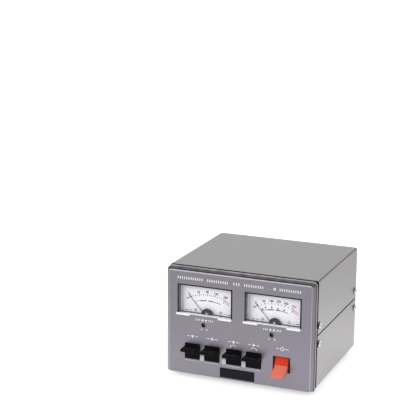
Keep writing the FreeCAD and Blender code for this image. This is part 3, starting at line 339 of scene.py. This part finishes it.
def paintPanelLight(material):
    tree = material.node_tree
    color, before = baseColor(material)
    start = panelFace - panelShadeSteps["start"] * mm
    across = calc(tree, "SUBTRACT", calc(tree, "ABSOLUTE", objectAxis(tree, 0)), panelHigh.x)
    up = calc(tree, "SUBTRACT", objectAxis(tree, 2), panelHigh.z)
    onTop = calc(tree, "GREATER_THAN", up, across)
    # the top and the sides get their own painted light: a brighter highlight line and a darker bevel on the
    # top
    steps = mixColor(tree, onTop, bands(tree, 1, start, panelShadeSteps["side"]),
                     bands(tree, 1, start, panelShadeSteps["top"]))
    # painted reflection streaks, only behind the face and only on the top
    noise = objectNoise(tree, bevelStreaks["patch"], bevelStreaks["stretch"], bevelStreaks["detail"])
    streak = remap(tree, noise, *bevelStreaks["noise"], *bevelStreaks["lift"])
    behind = calc(tree, "GREATER_THAN", objectAxis(tree, 1), panelFace + bevelStreaks["behind"] * mm)
    streaked = calc(tree, "MULTIPLY", calc(tree, "SUBTRACT", streak, 1.0), behind)
    lift = calc(tree, "ADD", calc(tree, "MULTIPLY", streaked, onTop), 1.0)
    shaded = tree.nodes.new("ShaderNodeVectorMath")
    shaded.operation = "SCALE"
    tree.links.new(steps, shaded.inputs[0])
    tree.links.new(lift, shaded.inputs["Scale"])
    tree.links.new(mixColor(tree, 1.0, before, shaded.outputs[0], "MULTIPLY"), color)


# Painted light on the covers: their long folds are painted dark as a reflection, and the cut edges at the seam
# and at the front are painted near black as shade in the gaps
coverShade = {"fold": 1.6, "foldShadeColor": (0.10, 0.095, 0.09), "seam": 1.1, "front": 13.9,
              "edgeShadeColor": (0.015, 0.015, 0.017)}


def paintCoverShade(material):
    tree = material.node_tree
    color, before = baseColor(material)
    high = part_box("top_cover")[1]
    height = calc(tree, "ABSOLUTE", calc(tree, "SUBTRACT", objectAxis(tree, 2), seam))
    outward = calc(tree, "GREATER_THAN", calc(tree, "ABSOLUTE", objectAxis(tree, 0)),
                   high.x - coverShade["fold"] * mm)
    upward = calc(tree, "GREATER_THAN", height, high.z - seam - coverShade["fold"] * mm)
    # painted dark reflection along the long folds
    fold = mixColor(tree, calc(tree, "MULTIPLY", outward, upward), before, coverShade["foldShadeColor"])
    # painted shade on the cut edges at the seam and at the front
    atSeam = calc(tree, "LESS_THAN", height, coverShade["seam"] * mm)
    atFront = calc(tree, "LESS_THAN", objectAxis(tree, 1), panelFace + coverShade["front"] * mm)
    onEdge = calc(tree, "MAXIMUM", atSeam, atFront)
    tree.links.new(mixColor(tree, onEdge, fold, coverShade["edgeShadeColor"]), color)


paintPanelLight(made["panelPaint"])
paintCoverShade(made["coverPaint"])

# Clear moulded covers and the fuse's glass
clears = {
    "clearLens": {"on": bothSides("meter_lens"), "rough": (0.03, 0.08), "patch": 0.03,
                  "shader": {"Base Color": (0.9, 0.92, 1.0, 1), "Alpha": 0.03}},
    "fuseGlass": {"on": ["fuse_link"], "rough": (0.04, 0.12), "patch": 0.004,
                  "shader": {"Base Color": (0.8, 0.85, 0.85, 1), "Transmission Weight": 0.8}},
}
for name, look in clears.items():
    material, tree, shader = newMaterial(name, look["shader"])
    varyRoughness(tree, shader, objectNoise(tree, look["patch"]), look["rough"])
    wear(material, look["on"])
print("finishes on", len(nodes), "nodes")


def faceOutward(bm):
    bmesh.ops.recalc_face_normals(bm, faces=bm.faces)


def mergeSeams(bm):
    bmesh.ops.remove_doubles(bm, verts=bm.verts, dist=1e-7)


def softEdges(bm, offset, segments):
    bmesh.ops.bevel(bm, geom=bm.edges[:], offset=offset, segments=segments, profile=0.5, affect="EDGES",
                    material=-1)


# A section turned about a centre and an axis; a whole turn closes on itself
def addSweep(bm, section, centre, axis, angle, steps, whole):
    corners = [bm.verts.new(point) for point in section]
    face = bm.faces.new(corners)
    bmesh.ops.spin(bm, geom=[face] + corners + list(face.edges), cent=centre, axis=axis, dvec=(0, 0, 0),
                   angle=angle, steps=steps, use_merge=whole, use_duplicate=False)


def addExtrusion(bm, section, by):
    face = bm.faces.new([bm.verts.new(point) for point in section])
    grown = bmesh.ops.extrude_face_region(bm, geom=[face])
    moved = [item for item in grown["geom"] if isinstance(item, bmesh.types.BMVert)]
    bmesh.ops.translate(bm, verts=moved, vec=by)


def addBlock(bm, low, high):
    size = Vector(high) - Vector(low)
    middle = (Vector(high) + Vector(low)) / 2
    bmesh.ops.create_cube(bm, size=1, matrix=Matrix.Translation(middle) @ Matrix.Diagonal((*size, 1)))


# Print stands a hair above its surface and sinks a hair into it; weight thickens the figures
ink = {"rise": 0.05 * mm, "sink": 0.03 * mm, "weight": 0.035, "curveSteps": 3, "arcSteps": 24}
inkDepth = ink["rise"] + ink["sink"]


def inkPlace(x, y, turn):
    return Matrix.Translation((x, y, (ink["rise"] - ink["sink"]) / 2)) @ Matrix.Rotation(turn, 4, "Z")


# A flat printed bar, its middle at (x, y) and its length along its own x
def addBar(bm, x, y, length, width, turn=0.0):
    size = Matrix.Diagonal((length, width, inkDepth, 1))
    bmesh.ops.create_cube(bm, size=1, matrix=inkPlace(x, y, turn) @ size)


# A printed arc about (x, y); angles in degrees from straight up, clockwise
def addArc(bm, x, y, radius, width, start, end):
    outward = Matrix.Translation((x, y, 0)) @ Matrix.Rotation(math.radians(90 - start), 4, "Z")
    section = [outward @ Vector((radius + way * width / 2, 0, z))
               for way, z in ((-1, -ink["sink"]), (1, -ink["sink"]), (1, ink["rise"]), (-1, ink["rise"]))]
    reach = end - start
    addSweep(bm, section, (x, y, 0), (0, 0, 1), -math.radians(reach), ink["arcSteps"], reach >= 360)


# A filled shape, such as a triangle that points along its own +y, or a disc
def addSpot(bm, x, y, radius, turn=0.0, segments=3):
    bmesh.ops.create_cone(bm, cap_ends=True, segments=segments, radius1=radius, radius2=radius,
                          depth=inkDepth, matrix=inkPlace(x, y, turn))


# Upright ticks from x0 to x1 at height y, like the marks of a rule; all in mm
def addTicks(bm, x0, x1, y, look):
    count = max(2, round((x1 - x0) / look["pitch"]))
    for index in range(count):
        x = x0 + (x1 - x0) * (index + 0.5) / count
        addBar(bm, x * mm, y * mm, look["wide"] * mm, look["tall"] * mm, -look["lean"])


def addNumber(bm, text, x, y, size, turn=0.0):
    curve = bpy.data.curves.new("figure", "FONT")
    curve.body = text
    curve.size = size
    curve.align_x = "CENTER"
    curve.align_y = "CENTER"
    curve.extrude = inkDepth / 2
    curve.offset = size * ink["weight"]
    curve.resolution_u = ink["curveSteps"]
    figure = bpy.data.objects.new("figure", curve)
    scene.collection.objects.link(figure)
    bpy.context.view_layer.update()
    mesh = bpy.data.meshes.new_from_object(figure.evaluated_get(bpy.context.evaluated_depsgraph_get()))
    mesh.transform(inkPlace(x, y, turn))
    bm.from_mesh(mesh)
    bpy.data.objects.remove(figure)
    bpy.data.curves.remove(curve)
    bpy.data.meshes.remove(mesh)


def placePrint(name, bm, place, material):
    mergeSeams(bm)
    faceOutward(bm)
    bm.transform(place)
    addPiece(name, bm, material, "case")


# Windows, in mm: x of the middle, z of the lower and upper edge above the case's underside
window = {"left": -46.175, "right": 45.375, "half": 37.525, "low": 78.8, "high": 119.7}

# Dials, about the middle of each window; angles are the pointer's, in degrees from straight up.
# A track is (start, end, share of its width), a bar is (x, y, length, width, turn) in mm and
# radians, and a red arc is (mm outside the track, start, end, width in mm)
dial = {"plate": 0.8 * mm, "plateEdge": 0.6 * mm, "pivotDrop": 24.9 * mm, "arcDrop": 63.6 * mm,
        "tickRadius": 68.0 * mm, "tickWidth": 0.6 * mm, "majorWidth": 1.3, "longTick": 3.0 * mm,
        "shortTick": 2.0 * mm, "numberRadius": 72.8 * mm, "figureSize": 4.0 * mm, "figureTurn": 0.35,
        "trackRadius": 61.4 * mm, "trackWidth": 1.1 * mm,
        "track": ((-17, -9, 0.5), (-9, -1, 1.2), (1.2, 6.5, 1.2), (6.5, 17.0, 0.7)),
        "ringRadius": 1.5 * mm, "ringWidth": 0.75 * mm, "ringDrop": 16.2 * mm, "ringPlace": 17.4 * mm,
        "spotRadius": 1.15 * mm, "spotSides": 12,
        "bars": ((-29.5, -17.3, 3.4, 0.8, 0), (-24.5, -17.3, 3.0, 0.8, 0), (23.5, -17.3, 1.2, 0.8, 0),
                 (28.5, -17.3, 4.6, 0.8, 0)),
        "borderInset": 1.9 * mm, "borderWidth": 0.3 * mm, "borderTop": 17.3 * mm,
        "borderSide": 35.9 * mm, "borderSideDrop": 0.65 * mm,
        "redBars": ((-28.4, -1.6, 4.2, 2.0, 0.12),), "redTurn": -0.2,
        "redArcs": ((6.4, 19.0, 25.6, 1.0), (4.2, 20.4, 26.6, 0.9)),
        "endBars": ((22.2, -0.4, 5.6, 0.8, 0.95),)}
scales = {
    "left": {"figures": ("0", "45", "90", "135", "180"), "red": (), "start": -42.4, "step": 20.1, "between": 3,
             "trackTurn": -1.0, "spots": ()},
    "right": {"figures": ("0", "90", "180", "270", "360"), "red": ("450",), "start": -42.8, "step": 16.1,
              "between": 1, "trackTurn": -1.7,
              "spots": ((-17.8, -3.4), (-13.9, -0.6), (-5.7, 0.6), (2.4, -0.3), (10.7, -1.0))},
}


# Where the pointer's line at this angle crosses the arc of this radius, about the window's middle
def scaleSpot(angle, radius):
    rise = dial["arcDrop"] - dial["pivotDrop"]
    a = math.radians(angle)
    reach = -rise * math.cos(a) + math.sqrt((rise * math.cos(a)) ** 2 - rise ** 2 + radius ** 2)
    return reach * math.sin(a), reach * math.cos(a) - dial["pivotDrop"]


def printTick(bm, angle, length, width):
    x, y = scaleSpot(angle, dial["tickRadius"])
    a = math.radians(angle)
    addBar(bm, x + math.sin(a) * length / 2, y + math.cos(a) * length / 2, length, width,
           math.radians(90) - a)


def printBars(bm, bars):
    for x, y, length, width, turn in bars:
        addBar(bm, x * mm, y * mm, length * mm, width * mm, turn)


for side in sides:
    scale = scales[side]
    low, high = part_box(side + "_dial_plate")
    middle = Vector(((low.x + high.x) / 2, high.y - dial["plate"],
                     caseFloor + (window["low"] + window["high"]) / 2 * mm))
    place = Matrix.Translation(middle) @ facingFront
    black = bmesh.new()
    red = bmesh.new()
    for index, figure in enumerate(scale["figures"]):
        angle = scale["start"] + scale["step"] * index
        x, y = scaleSpot(angle, dial["numberRadius"])
        addNumber(black, figure, x, y, dial["figureSize"], -math.radians(angle) * dial["figureTurn"])
    count = len(scale["figures"])
    split = scale["between"] + 1
    for index in range((count - 1 + len(scale["red"])) * split + 1):
        major = index % split == 0
        printTick(black, scale["start"] + scale["step"] * index / split,
                  dial["longTick"] if major else dial["shortTick"],
                  dial["tickWidth"] * (dial["majorWidth"] if major else 1))
    turn = scale["trackTurn"]
    for start, end, width in dial["track"]:
        addArc(black, 0, -dial["arcDrop"], dial["trackRadius"], dial["trackWidth"] * width, start + turn,
               end + turn)
    for x, y in scale["spots"]:
        addSpot(black, x * mm, y * mm, dial["spotRadius"], segments=dial["spotSides"])
    for x in (-dial["ringPlace"], dial["ringPlace"]):
        addArc(black, x, -dial["ringDrop"], dial["ringRadius"], dial["ringWidth"], 0, 360)
    printBars(black, dial["bars"])
    halfWide = (high.x - low.x) / 2 - dial["plateEdge"] - dial["borderInset"]
    addBar(black, 0, dial["borderTop"], 2 * halfWide, dial["borderWidth"])
    for x in (-halfWide, halfWide):
        addBar(black, x, -dial["borderSideDrop"], dial["borderWidth"], dial["borderSide"])
    printBars(black, dial["endBars"])
    # red ends of the scale
    printBars(red, dial["redBars"])
    for index, figure in enumerate(scale["red"]):
        x, y = scaleSpot(scale["start"] + scale["step"] * (count + index), dial["numberRadius"])
        addNumber(red, figure, x, y, dial["figureSize"], dial["redTurn"])
    for rise, start, end, width in dial["redArcs"]:
        addArc(red, 0, -dial["arcDrop"], dial["trackRadius"] + rise * mm, width * mm, start, end)
    placePrint(side + "_dial_lines", black, place, made["printBlack"])
    placePrint(side + "_dial_red", red, place, made["printRed"])
print("dials printed")

# Marks on the front panel, in mm: x from the middle, z up from the case's underside. Arrow sizes
# are the widths of their bases, and arrowShare of one is its triangle's radius
legend = {"titleHeight": 127.9, "titleTicks": {"pitch": 3.0, "wide": 1.15, "tall": 3.5, "lean": 0.12},
          "title": ((-84.5, -48.5), (-44.0, -14.0), (-8.5, 1.5), (6.0, 33.0), (45.5, 49.0), (53.0, 82.0)),
          "nameTicks": {"pitch": 2.5, "wide": 0.9, "tall": 2.6, "lean": 0.25}, "nameReach": (5.2, 12.4),
          "meterShift": 0.4, "meterMark": 74.6, "meterArrow": 3.6, "meterReach": 2.4,
          "meters": {"left": ("up", "down"), "right": ("left", "right")},
          "trimMark": 62.3, "trimReach": 3.65, "trimBar": 2.8,
          "keys": {"down": -62.7, "up": -35.4, "left": -6.4, "right": 21.0}, "keyMark": 51.2,
          "arrow": 4.6, "arrowShare": 0.58, "dash": 4.2, "dashReach": 5.6, "dashWidth": 0.8,
          "turnMark": 46.2, "turnKeys": {"left": -1, "right": 1},
          "turnArc": {"drop": 3.4, "radius": 4.4, "width": 0.7, "half": 55},
          "turnHead": {"drop": 1.2, "reach": 4.0, "size": 2.2, "turn": 140},
          "power": 58.9, "powerMark": 51.6, "powerReach": 6.2, "powerDash": 4.4,
          "powerRing": {"radius": 2.2, "width": 0.8, "gap": 35}, "powerBar": {"rise": 1.9, "tall": 2.8}}
turns = {"up": 0.0, "left": math.radians(90), "down": math.radians(180), "right": math.radians(-90)}
marks = bmesh.new()


def markBar(x, z, length, width):
    addBar(marks, x * mm, z * mm, length * mm, width * mm)


def markArrow(x, z, size, turn):
    addSpot(marks, x * mm, z * mm, size * legend["arrowShare"] * mm, turn)


def markDashes(x, z, reach, length):
    for lean in (-1, 1):
        markBar(x + lean * reach, z, length, legend["dashWidth"])


for x0, x1 in legend["title"]:
    addTicks(marks, x0, x1, legend["titleHeight"], legend["titleTicks"])
for side, ways in legend["meters"].items():
    x = window[side] - legend["meterShift"]
    for lean, way in zip((-1, 1), ways):
        markArrow(x + lean * legend["meterReach"], legend["meterMark"], legend["meterArrow"], turns[way])
    near, far = legend["nameReach"]
    addTicks(marks, x - far, x - near, legend["meterMark"], legend["nameTicks"])
    addTicks(marks, x + near, x + far, legend["meterMark"], legend["nameTicks"])
    # a minus and a plus beside each front adjuster
    markDashes(x, legend["trimMark"], legend["trimReach"], legend["trimBar"])
    markBar(x + legend["trimReach"], legend["trimMark"], legend["dashWidth"], legend["trimBar"])
for way, x in legend["keys"].items():
    markArrow(x, legend["keyMark"], legend["arrow"], turns[way])
    markDashes(x, legend["keyMark"], legend["dashReach"], legend["dash"])
arc, head = legend["turnArc"], legend["turnHead"]
for key, lean in legend["turnKeys"].items():
    x = legend["keys"][key]
    addArc(marks, x * mm, (legend["turnMark"] - arc["drop"]) * mm, arc["radius"] * mm, arc["width"] * mm,
           -arc["half"], arc["half"])
    markArrow(x + lean * head["reach"], legend["turnMark"] - head["drop"], head["size"],
              -lean * math.radians(head["turn"]))
ring, bar = legend["powerRing"], legend["powerBar"]
addArc(marks, legend["power"] * mm, legend["powerMark"] * mm, ring["radius"] * mm, ring["width"] * mm,
       ring["gap"], 360 - ring["gap"])
markBar(legend["power"], legend["powerMark"] + bar["rise"], ring["width"], bar["tall"])
markDashes(legend["power"], legend["powerMark"], legend["powerReach"], legend["powerDash"])
placePrint("panel_marks", marks, Matrix.Translation((0, panelFace, caseFloor)) @ facingFront,
           made["printWhite"])

# Numbers under the rear terminals
poles = {"count": 6, "pitch": 9.0 * mm, "size": 3.4 * mm, "drop": 3.2 * mm}
rearMarks = bmesh.new()
for strip in ("elevation", "azimuth"):
    low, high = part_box(strip + "_terminals")
    first = (low.x + high.x) / 2 - poles["pitch"] * (poles["count"] - 1) / 2
    height = low.z - poles["drop"] - caseFloor
    for pole in range(poles["count"]):
        addNumber(rearMarks, str(pole + 1), -(first + poles["pitch"] * pole), height, poles["size"])
placePrint("rear_marks", rearMarks, Matrix.Translation((0, rearFace, caseFloor)) @ facingRear,
           made["printBlack"])
print("panel marks printed")

# Painted light: light-grey tabs between the keys and a light lip under each key opening stand for lit patches
# and highlights on the panel
litPatch = {"width": 5.8 * mm, "low": 19.9 * mm, "high": 26.6 * mm, "gap": 0.25 * mm, "proud": 0.35 * mm,
         "sink": 0.05 * mm, "lipTop": 18.9 * mm, "lip": 0.8 * mm, "soft": 0.1 * mm}
litPatches = bmesh.new()
back = panelFace + litPatch["sink"]
front = panelFace - litPatch["proud"]
for key in keyNames:
    low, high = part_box(key + "_key")
    right = low.x - litPatch["gap"]
    if key != keyNames[0]:
        addBlock(litPatches, (right - litPatch["width"], front, caseFloor + litPatch["low"]),
                 (right, back, caseFloor + litPatch["high"]))
    addBlock(litPatches, (low.x, front, caseFloor + litPatch["lipTop"] - litPatch["lip"]),
             (high.x, back, caseFloor + litPatch["lipTop"]))
softEdges(litPatches, litPatch["soft"], 1)
addPiece("key_lit_patches", litPatches, made["litPatchGrey"], "case")

# Painted shade: black strips round the inside of each window stand for its dark shadow lines, widest at the
# right and the top, open at the sill, in mm
rim = {"left": 0.35, "right": 2.0, "top": 1.7, "front": 0.3, "back": 2.9, "gap": 0.02, "sillRise": 1.9}
windowShadeStrips = bmesh.new()
for side in sides:
    left, right = window[side] - window["half"] + rim["gap"], window[side] + window["half"] - rim["gap"]
    low, high = window["low"] + rim["sillRise"], window["high"] - rim["gap"]
    y0, y1 = panelFace + rim["front"] * mm, panelFace + rim["back"] * mm
    for x0, x1, z0, z1 in ((left, left + rim["left"], low, high), (right - rim["right"], right, low, high),
                           (left + rim["left"], right - rim["right"], high - rim["top"], high)):
        addBlock(windowShadeStrips, (x0 * mm, y0, caseFloor + z0 * mm), (x1 * mm, y1, caseFloor + z1 * mm))
addPiece("window_shade_strips", windowShadeStrips, made["meterBlack"], "case")

# White noses of the sill at both ends of each window, in mm: x0 and x1 from the window's middle,
# then the lower and the upper edge above the case's underside
sill = {"left": (-39.0, -20.0, 78.7, 81.0), "right": (18.7, 36.6, 78.3, 80.5), "back": 0.28, "brow": 0.25,
        "out": 2.2, "nose": 0.7, "soft": 0.12}
noses = bmesh.new()
for side in sides:
    for x0, x1, low, high in (sill["left"], sill["right"]):
        section = [((window[side] + x0) * mm, panelFace + y * mm, caseFloor + z * mm)
                   for y, z in ((sill["back"], low), (sill["back"], high), (-sill["brow"], high),
                                (-sill["out"], low + sill["nose"]), (-sill["out"], low))]
        addExtrusion(noses, section, ((x1 - x0) * mm, 0, 0))
faceOutward(noses)
softEdges(noses, sill["soft"] * mm, 2)
addPiece("sill_noses", noses, made["dialWhite"], "case")

# Thin rim that widens each pivot shroud, in mm
hood = {"inner": 7.1, "outer": 8.1, "front": 7.35, "back": 9.05, "slope": 0.35, "height": 79.6, "steps": 24}
hoods = bmesh.new()
for side in sides:
    centre = Vector((window[side] * mm, panelFace + hood["front"] * mm, caseFloor + hood["height"] * mm))
    deep = hood["back"] - hood["front"]
    section = [centre + Vector((x * mm, y * mm, 0))
               for x, y in ((hood["inner"], 0), (hood["outer"], hood["slope"]), (hood["outer"], deep),
                            (hood["inner"], deep))]
    addSweep(hoods, section, centre, (0, 1, 0), -math.pi, hood["steps"], False)
faceOutward(hoods)
addPiece("shroud_rims", hoods, made["meterBlack"], "case")

# Slim needles: the blade is a hair wide and ends in a short flag, in mm and degrees
needle = {"pivot": 74.4, "front": 10.1, "thick": 0.5, "root": 0.7, "waist": 0.45, "flag": 1.1,
          "flagStart": 34.3, "flare": 0.5, "reach": 37.5, "hubRadius": 1.3, "hubLength": 1.3,
          "shaftRadius": 0.6, "sides": 24, "turn": -43.0}
for side in sides:
    bm = bmesh.new()
    edge = ((needle["root"], 0), (needle["waist"], needle["flagStart"]),
            (needle["flag"], needle["flagStart"] + needle["flare"]), (needle["flag"], needle["reach"]))
    outline = [(wide / 2, z) for wide, z in edge] + [(-wide / 2, z) for wide, z in reversed(edge)]
    addExtrusion(bm, [(x * mm, 0, z * mm) for x, z in outline], (0, needle["thick"] * mm, 0))
    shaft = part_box(side + "_pointer")[1].y - panelFace - needle["front"] * mm
    for radius, length in ((needle["hubRadius"] * mm, needle["hubLength"] * mm),
                           (needle["shaftRadius"] * mm, shaft)):
        bmesh.ops.create_cone(bm, cap_ends=True, segments=needle["sides"], radius1=radius, radius2=radius,
                              depth=length, matrix=Matrix.Translation((0, length / 2, 0)) @ facingFront)
    faceOutward(bm)
    pivot = Vector((window[side] * mm, panelFace + needle["front"] * mm, caseFloor + needle["pivot"] * mm))
    bm.transform(Matrix.Translation(pivot) @ Matrix.Rotation(math.radians(needle["turn"]), 4, "Y"))
    piece = addPiece(side + "_needle", bm, made["pointerBlack"], side + "_movement")
    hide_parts(side + "_pointer")

# Painted shade: dark rings under the side screws stand for the shadow round each screw head, in mm
screwShade = {"inner": 3.8, "outer": 4.7, "thick": 0.35, "sink": 0.02, "rows": (18.5, 176.5), "spread": 12.0,
          "steps": 28}
shadeRings = bmesh.new()
for way in (-1, 1):
    for y in screwShade["rows"]:
        for lean in (-1, 1):
            centre = Vector((way * panelHigh.x, panelFace + y * mm, seam + lean * screwShade["spread"] * mm))
            section = [centre + Vector((way * x * mm, 0, z * mm))
                       for x, z in ((-screwShade["sink"], screwShade["inner"]), (screwShade["thick"], screwShade["inner"]),
                                    (screwShade["thick"], screwShade["outer"]), (-screwShade["sink"], screwShade["outer"]))]
            addSweep(shadeRings, section, centre, (1, 0, 0), 2 * math.pi, screwShade["steps"], True)
mergeSeams(shadeRings)
faceOutward(shadeRings)
addPiece("screw_shade_rings", shadeRings, made["rubber"], "case")

# Black frame round the badge plate, in mm
badge = {"rim": 1.3, "proud": 0.78, "sink": 0.03, "soft": 0.15}
low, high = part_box("badge_plate")
y0, y1 = panelFace - badge["proud"] * mm, panelFace + badge["sink"] * mm
grow = badge["rim"] * mm
badgeRim = bmesh.new()
for x0, x1, z0, z1 in ((low.x - grow, low.x, low.z - grow, high.z + grow),
                       (high.x, high.x + grow, low.z - grow, high.z + grow),
                       (low.x, high.x, low.z - grow, low.z), (low.x, high.x, high.z, high.z + grow)):
    addBlock(badgeRim, (x0, y0, z0), (x1, y1, z1))
softEdges(badgeRim, badge["soft"] * mm, 1)
addPiece("badge_frame", badgeRim, made["badgeBlack"], "case")
print("trim, needles, washers and badge frame in place")

# The power paddle with rounded edges, which stands for the CAD node; angles in degrees
paddle = {"node": "power_paddle", "merge": 0.002 * mm, "flat": 1.5, "radius": 0.7 * mm, "segments": 3,
          "angle": 25}
bm = bmesh.new()
bm.from_mesh(nodes[paddle["node"]].data)
bmesh.ops.remove_doubles(bm, verts=bm.verts, dist=paddle["merge"])
bmesh.ops.dissolve_limit(bm, angle_limit=math.radians(paddle["flat"]), verts=bm.verts, edges=bm.edges)
moulding = addPiece("paddle_moulding", bm, made["paddleOrange"], "power_paddle")
bevel = moulding.modifiers.new("soft edges", "BEVEL")
bevel.width = paddle["radius"]
bevel.segments = paddle["segments"]
bevel.limit_method = "ANGLE"
bevel.angle_limit = math.radians(paddle["angle"])
for face in moulding.data.polygons:
    face.use_smooth = True
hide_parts(paddle["node"])
print("paddle softened")

# Floor: the camera sees it white, and gloss sees it brightest near the case; reach in metres
stage = {"size": 30.0, "camera": 0.48, "glossNear": 0.6, "glossFar": 0.0, "near": 0.2, "far": 0.5,
         "shader": {"Base Color": (0.9, 0.9, 0.9, 1), "Roughness": 0.9, "Specular IOR Level": 0.0,
                    "Emission Color": (1, 1, 1, 1)}}
floorMesh = bpy.data.meshes.new("floor")
bm = bmesh.new()
bmesh.ops.create_grid(bm, x_segments=1, y_segments=1, size=stage["size"])
bm.to_mesh(floorMesh)
bm.free()
floor = bpy.data.objects.new("floor", floorMesh)
scene.collection.objects.link(floor)
floorPaint, tree, shader = newMaterial("floorPaint", stage["shader"])
lightPath = tree.nodes.new("ShaderNodeLightPath")
where = tree.nodes.new("ShaderNodeTexCoord")
reach = tree.nodes.new("ShaderNodeVectorMath")
reach.operation = "LENGTH"
tree.links.new(where.outputs["Object"], reach.inputs[0])
fade = remap(tree, reach.outputs["Value"], stage["near"], stage["far"],
             stage["glossNear"], stage["glossFar"])
toCamera = calc(tree, "MULTIPLY", lightPath.outputs["Is Camera Ray"], stage["camera"])
toGloss = calc(tree, "MULTIPLY", lightPath.outputs["Is Glossy Ray"], fade)
tree.links.new(calc(tree, "ADD", toCamera, toGloss), shader.inputs["Emission Strength"])
floorMesh.materials.append(floorPaint)

# World: even light for matt surfaces, darker overhead and in front for gloss, white for the camera
studio = {"diffuse": 0.92, "camera": 1.0, "zenith": 0.42, "zenithFrom": (0.35, 0.8), "front": 0.2,
          "back": 1.0, "aroundFrom": (-0.5, 0.3)}
world = bpy.data.worlds.new("studio")
world.use_nodes = True
scene.world = world
tree = world.node_tree
sky = tree.nodes["Background"]
lightPath = tree.nodes.new("ShaderNodeLightPath")
overhead = remap(tree, splitAxis(tree, "Generated", "Z"), *studio["zenithFrom"])
around = remap(tree, splitAxis(tree, "Generated", "Y"), *studio["aroundFrom"],
               studio["front"], studio["back"])
gloss = mixValue(tree, overhead, around, studio["zenith"])
glossy = mixValue(tree, lightPath.outputs["Is Glossy Ray"], studio["diffuse"], gloss)
strength = mixValue(tree, lightPath.outputs["Is Camera Ray"], glossy, studio["camera"])
tree.links.new(strength, sky.inputs["Strength"])
sky.inputs["Color"].default_value = (1, 1, 1, 1)

# Soft lamp high in front, which lights the edges of the panel and the dials
softLamp = {"away": 2.2, "toward": (-0.37, -0.79, 0.47), "aim": (0, 0, 0.08), "wide": 0.8, "tall": 0.4,
            "power": 11.0}
lamp = bpy.data.lights.new("softLamp", "AREA")
lamp.shape = "RECTANGLE"
lamp.size = softLamp["wide"]
lamp.size_y = softLamp["tall"]
lamp.energy = softLamp["power"]
lampObject = bpy.data.objects.new("softLamp", lamp)
toward = Vector(softLamp["toward"]).normalized()
lampObject.matrix_world = (Matrix.Translation(toward * softLamp["away"] + Vector(softLamp["aim"]))
                           @ toward.to_track_quat("Z", "Y").to_matrix().to_4x4())
scene.collection.objects.link(lampObject)
lampObject.visible_camera = False

# The photograph's camera, in metres, degrees and mm
shot = {"place": (0.52645, -1.46593, 0.58611), "azimuth": 22.611, "elevation": 13.342, "roll": 0.405,
        "lens": 108.14, "sensor": 36}
lens = bpy.data.cameras.new("shot")
lens.lens = shot["lens"]
lens.sensor_width = shot["sensor"]
camera = bpy.data.objects.new("shot", lens)
scene.collection.objects.link(camera)
aim = (Matrix.Rotation(math.radians(shot["azimuth"]), 4, "Z")
       @ Matrix.Rotation(math.radians(90 - shot["elevation"]), 4, "X")
       @ Matrix.Rotation(math.radians(shot["roll"]), 4, "Z"))
camera.matrix_world = Matrix.Translation(shot["place"]) @ aim
scene.camera = camera
scene.view_settings.view_transform = "Standard"
print("stage, light and camera set")
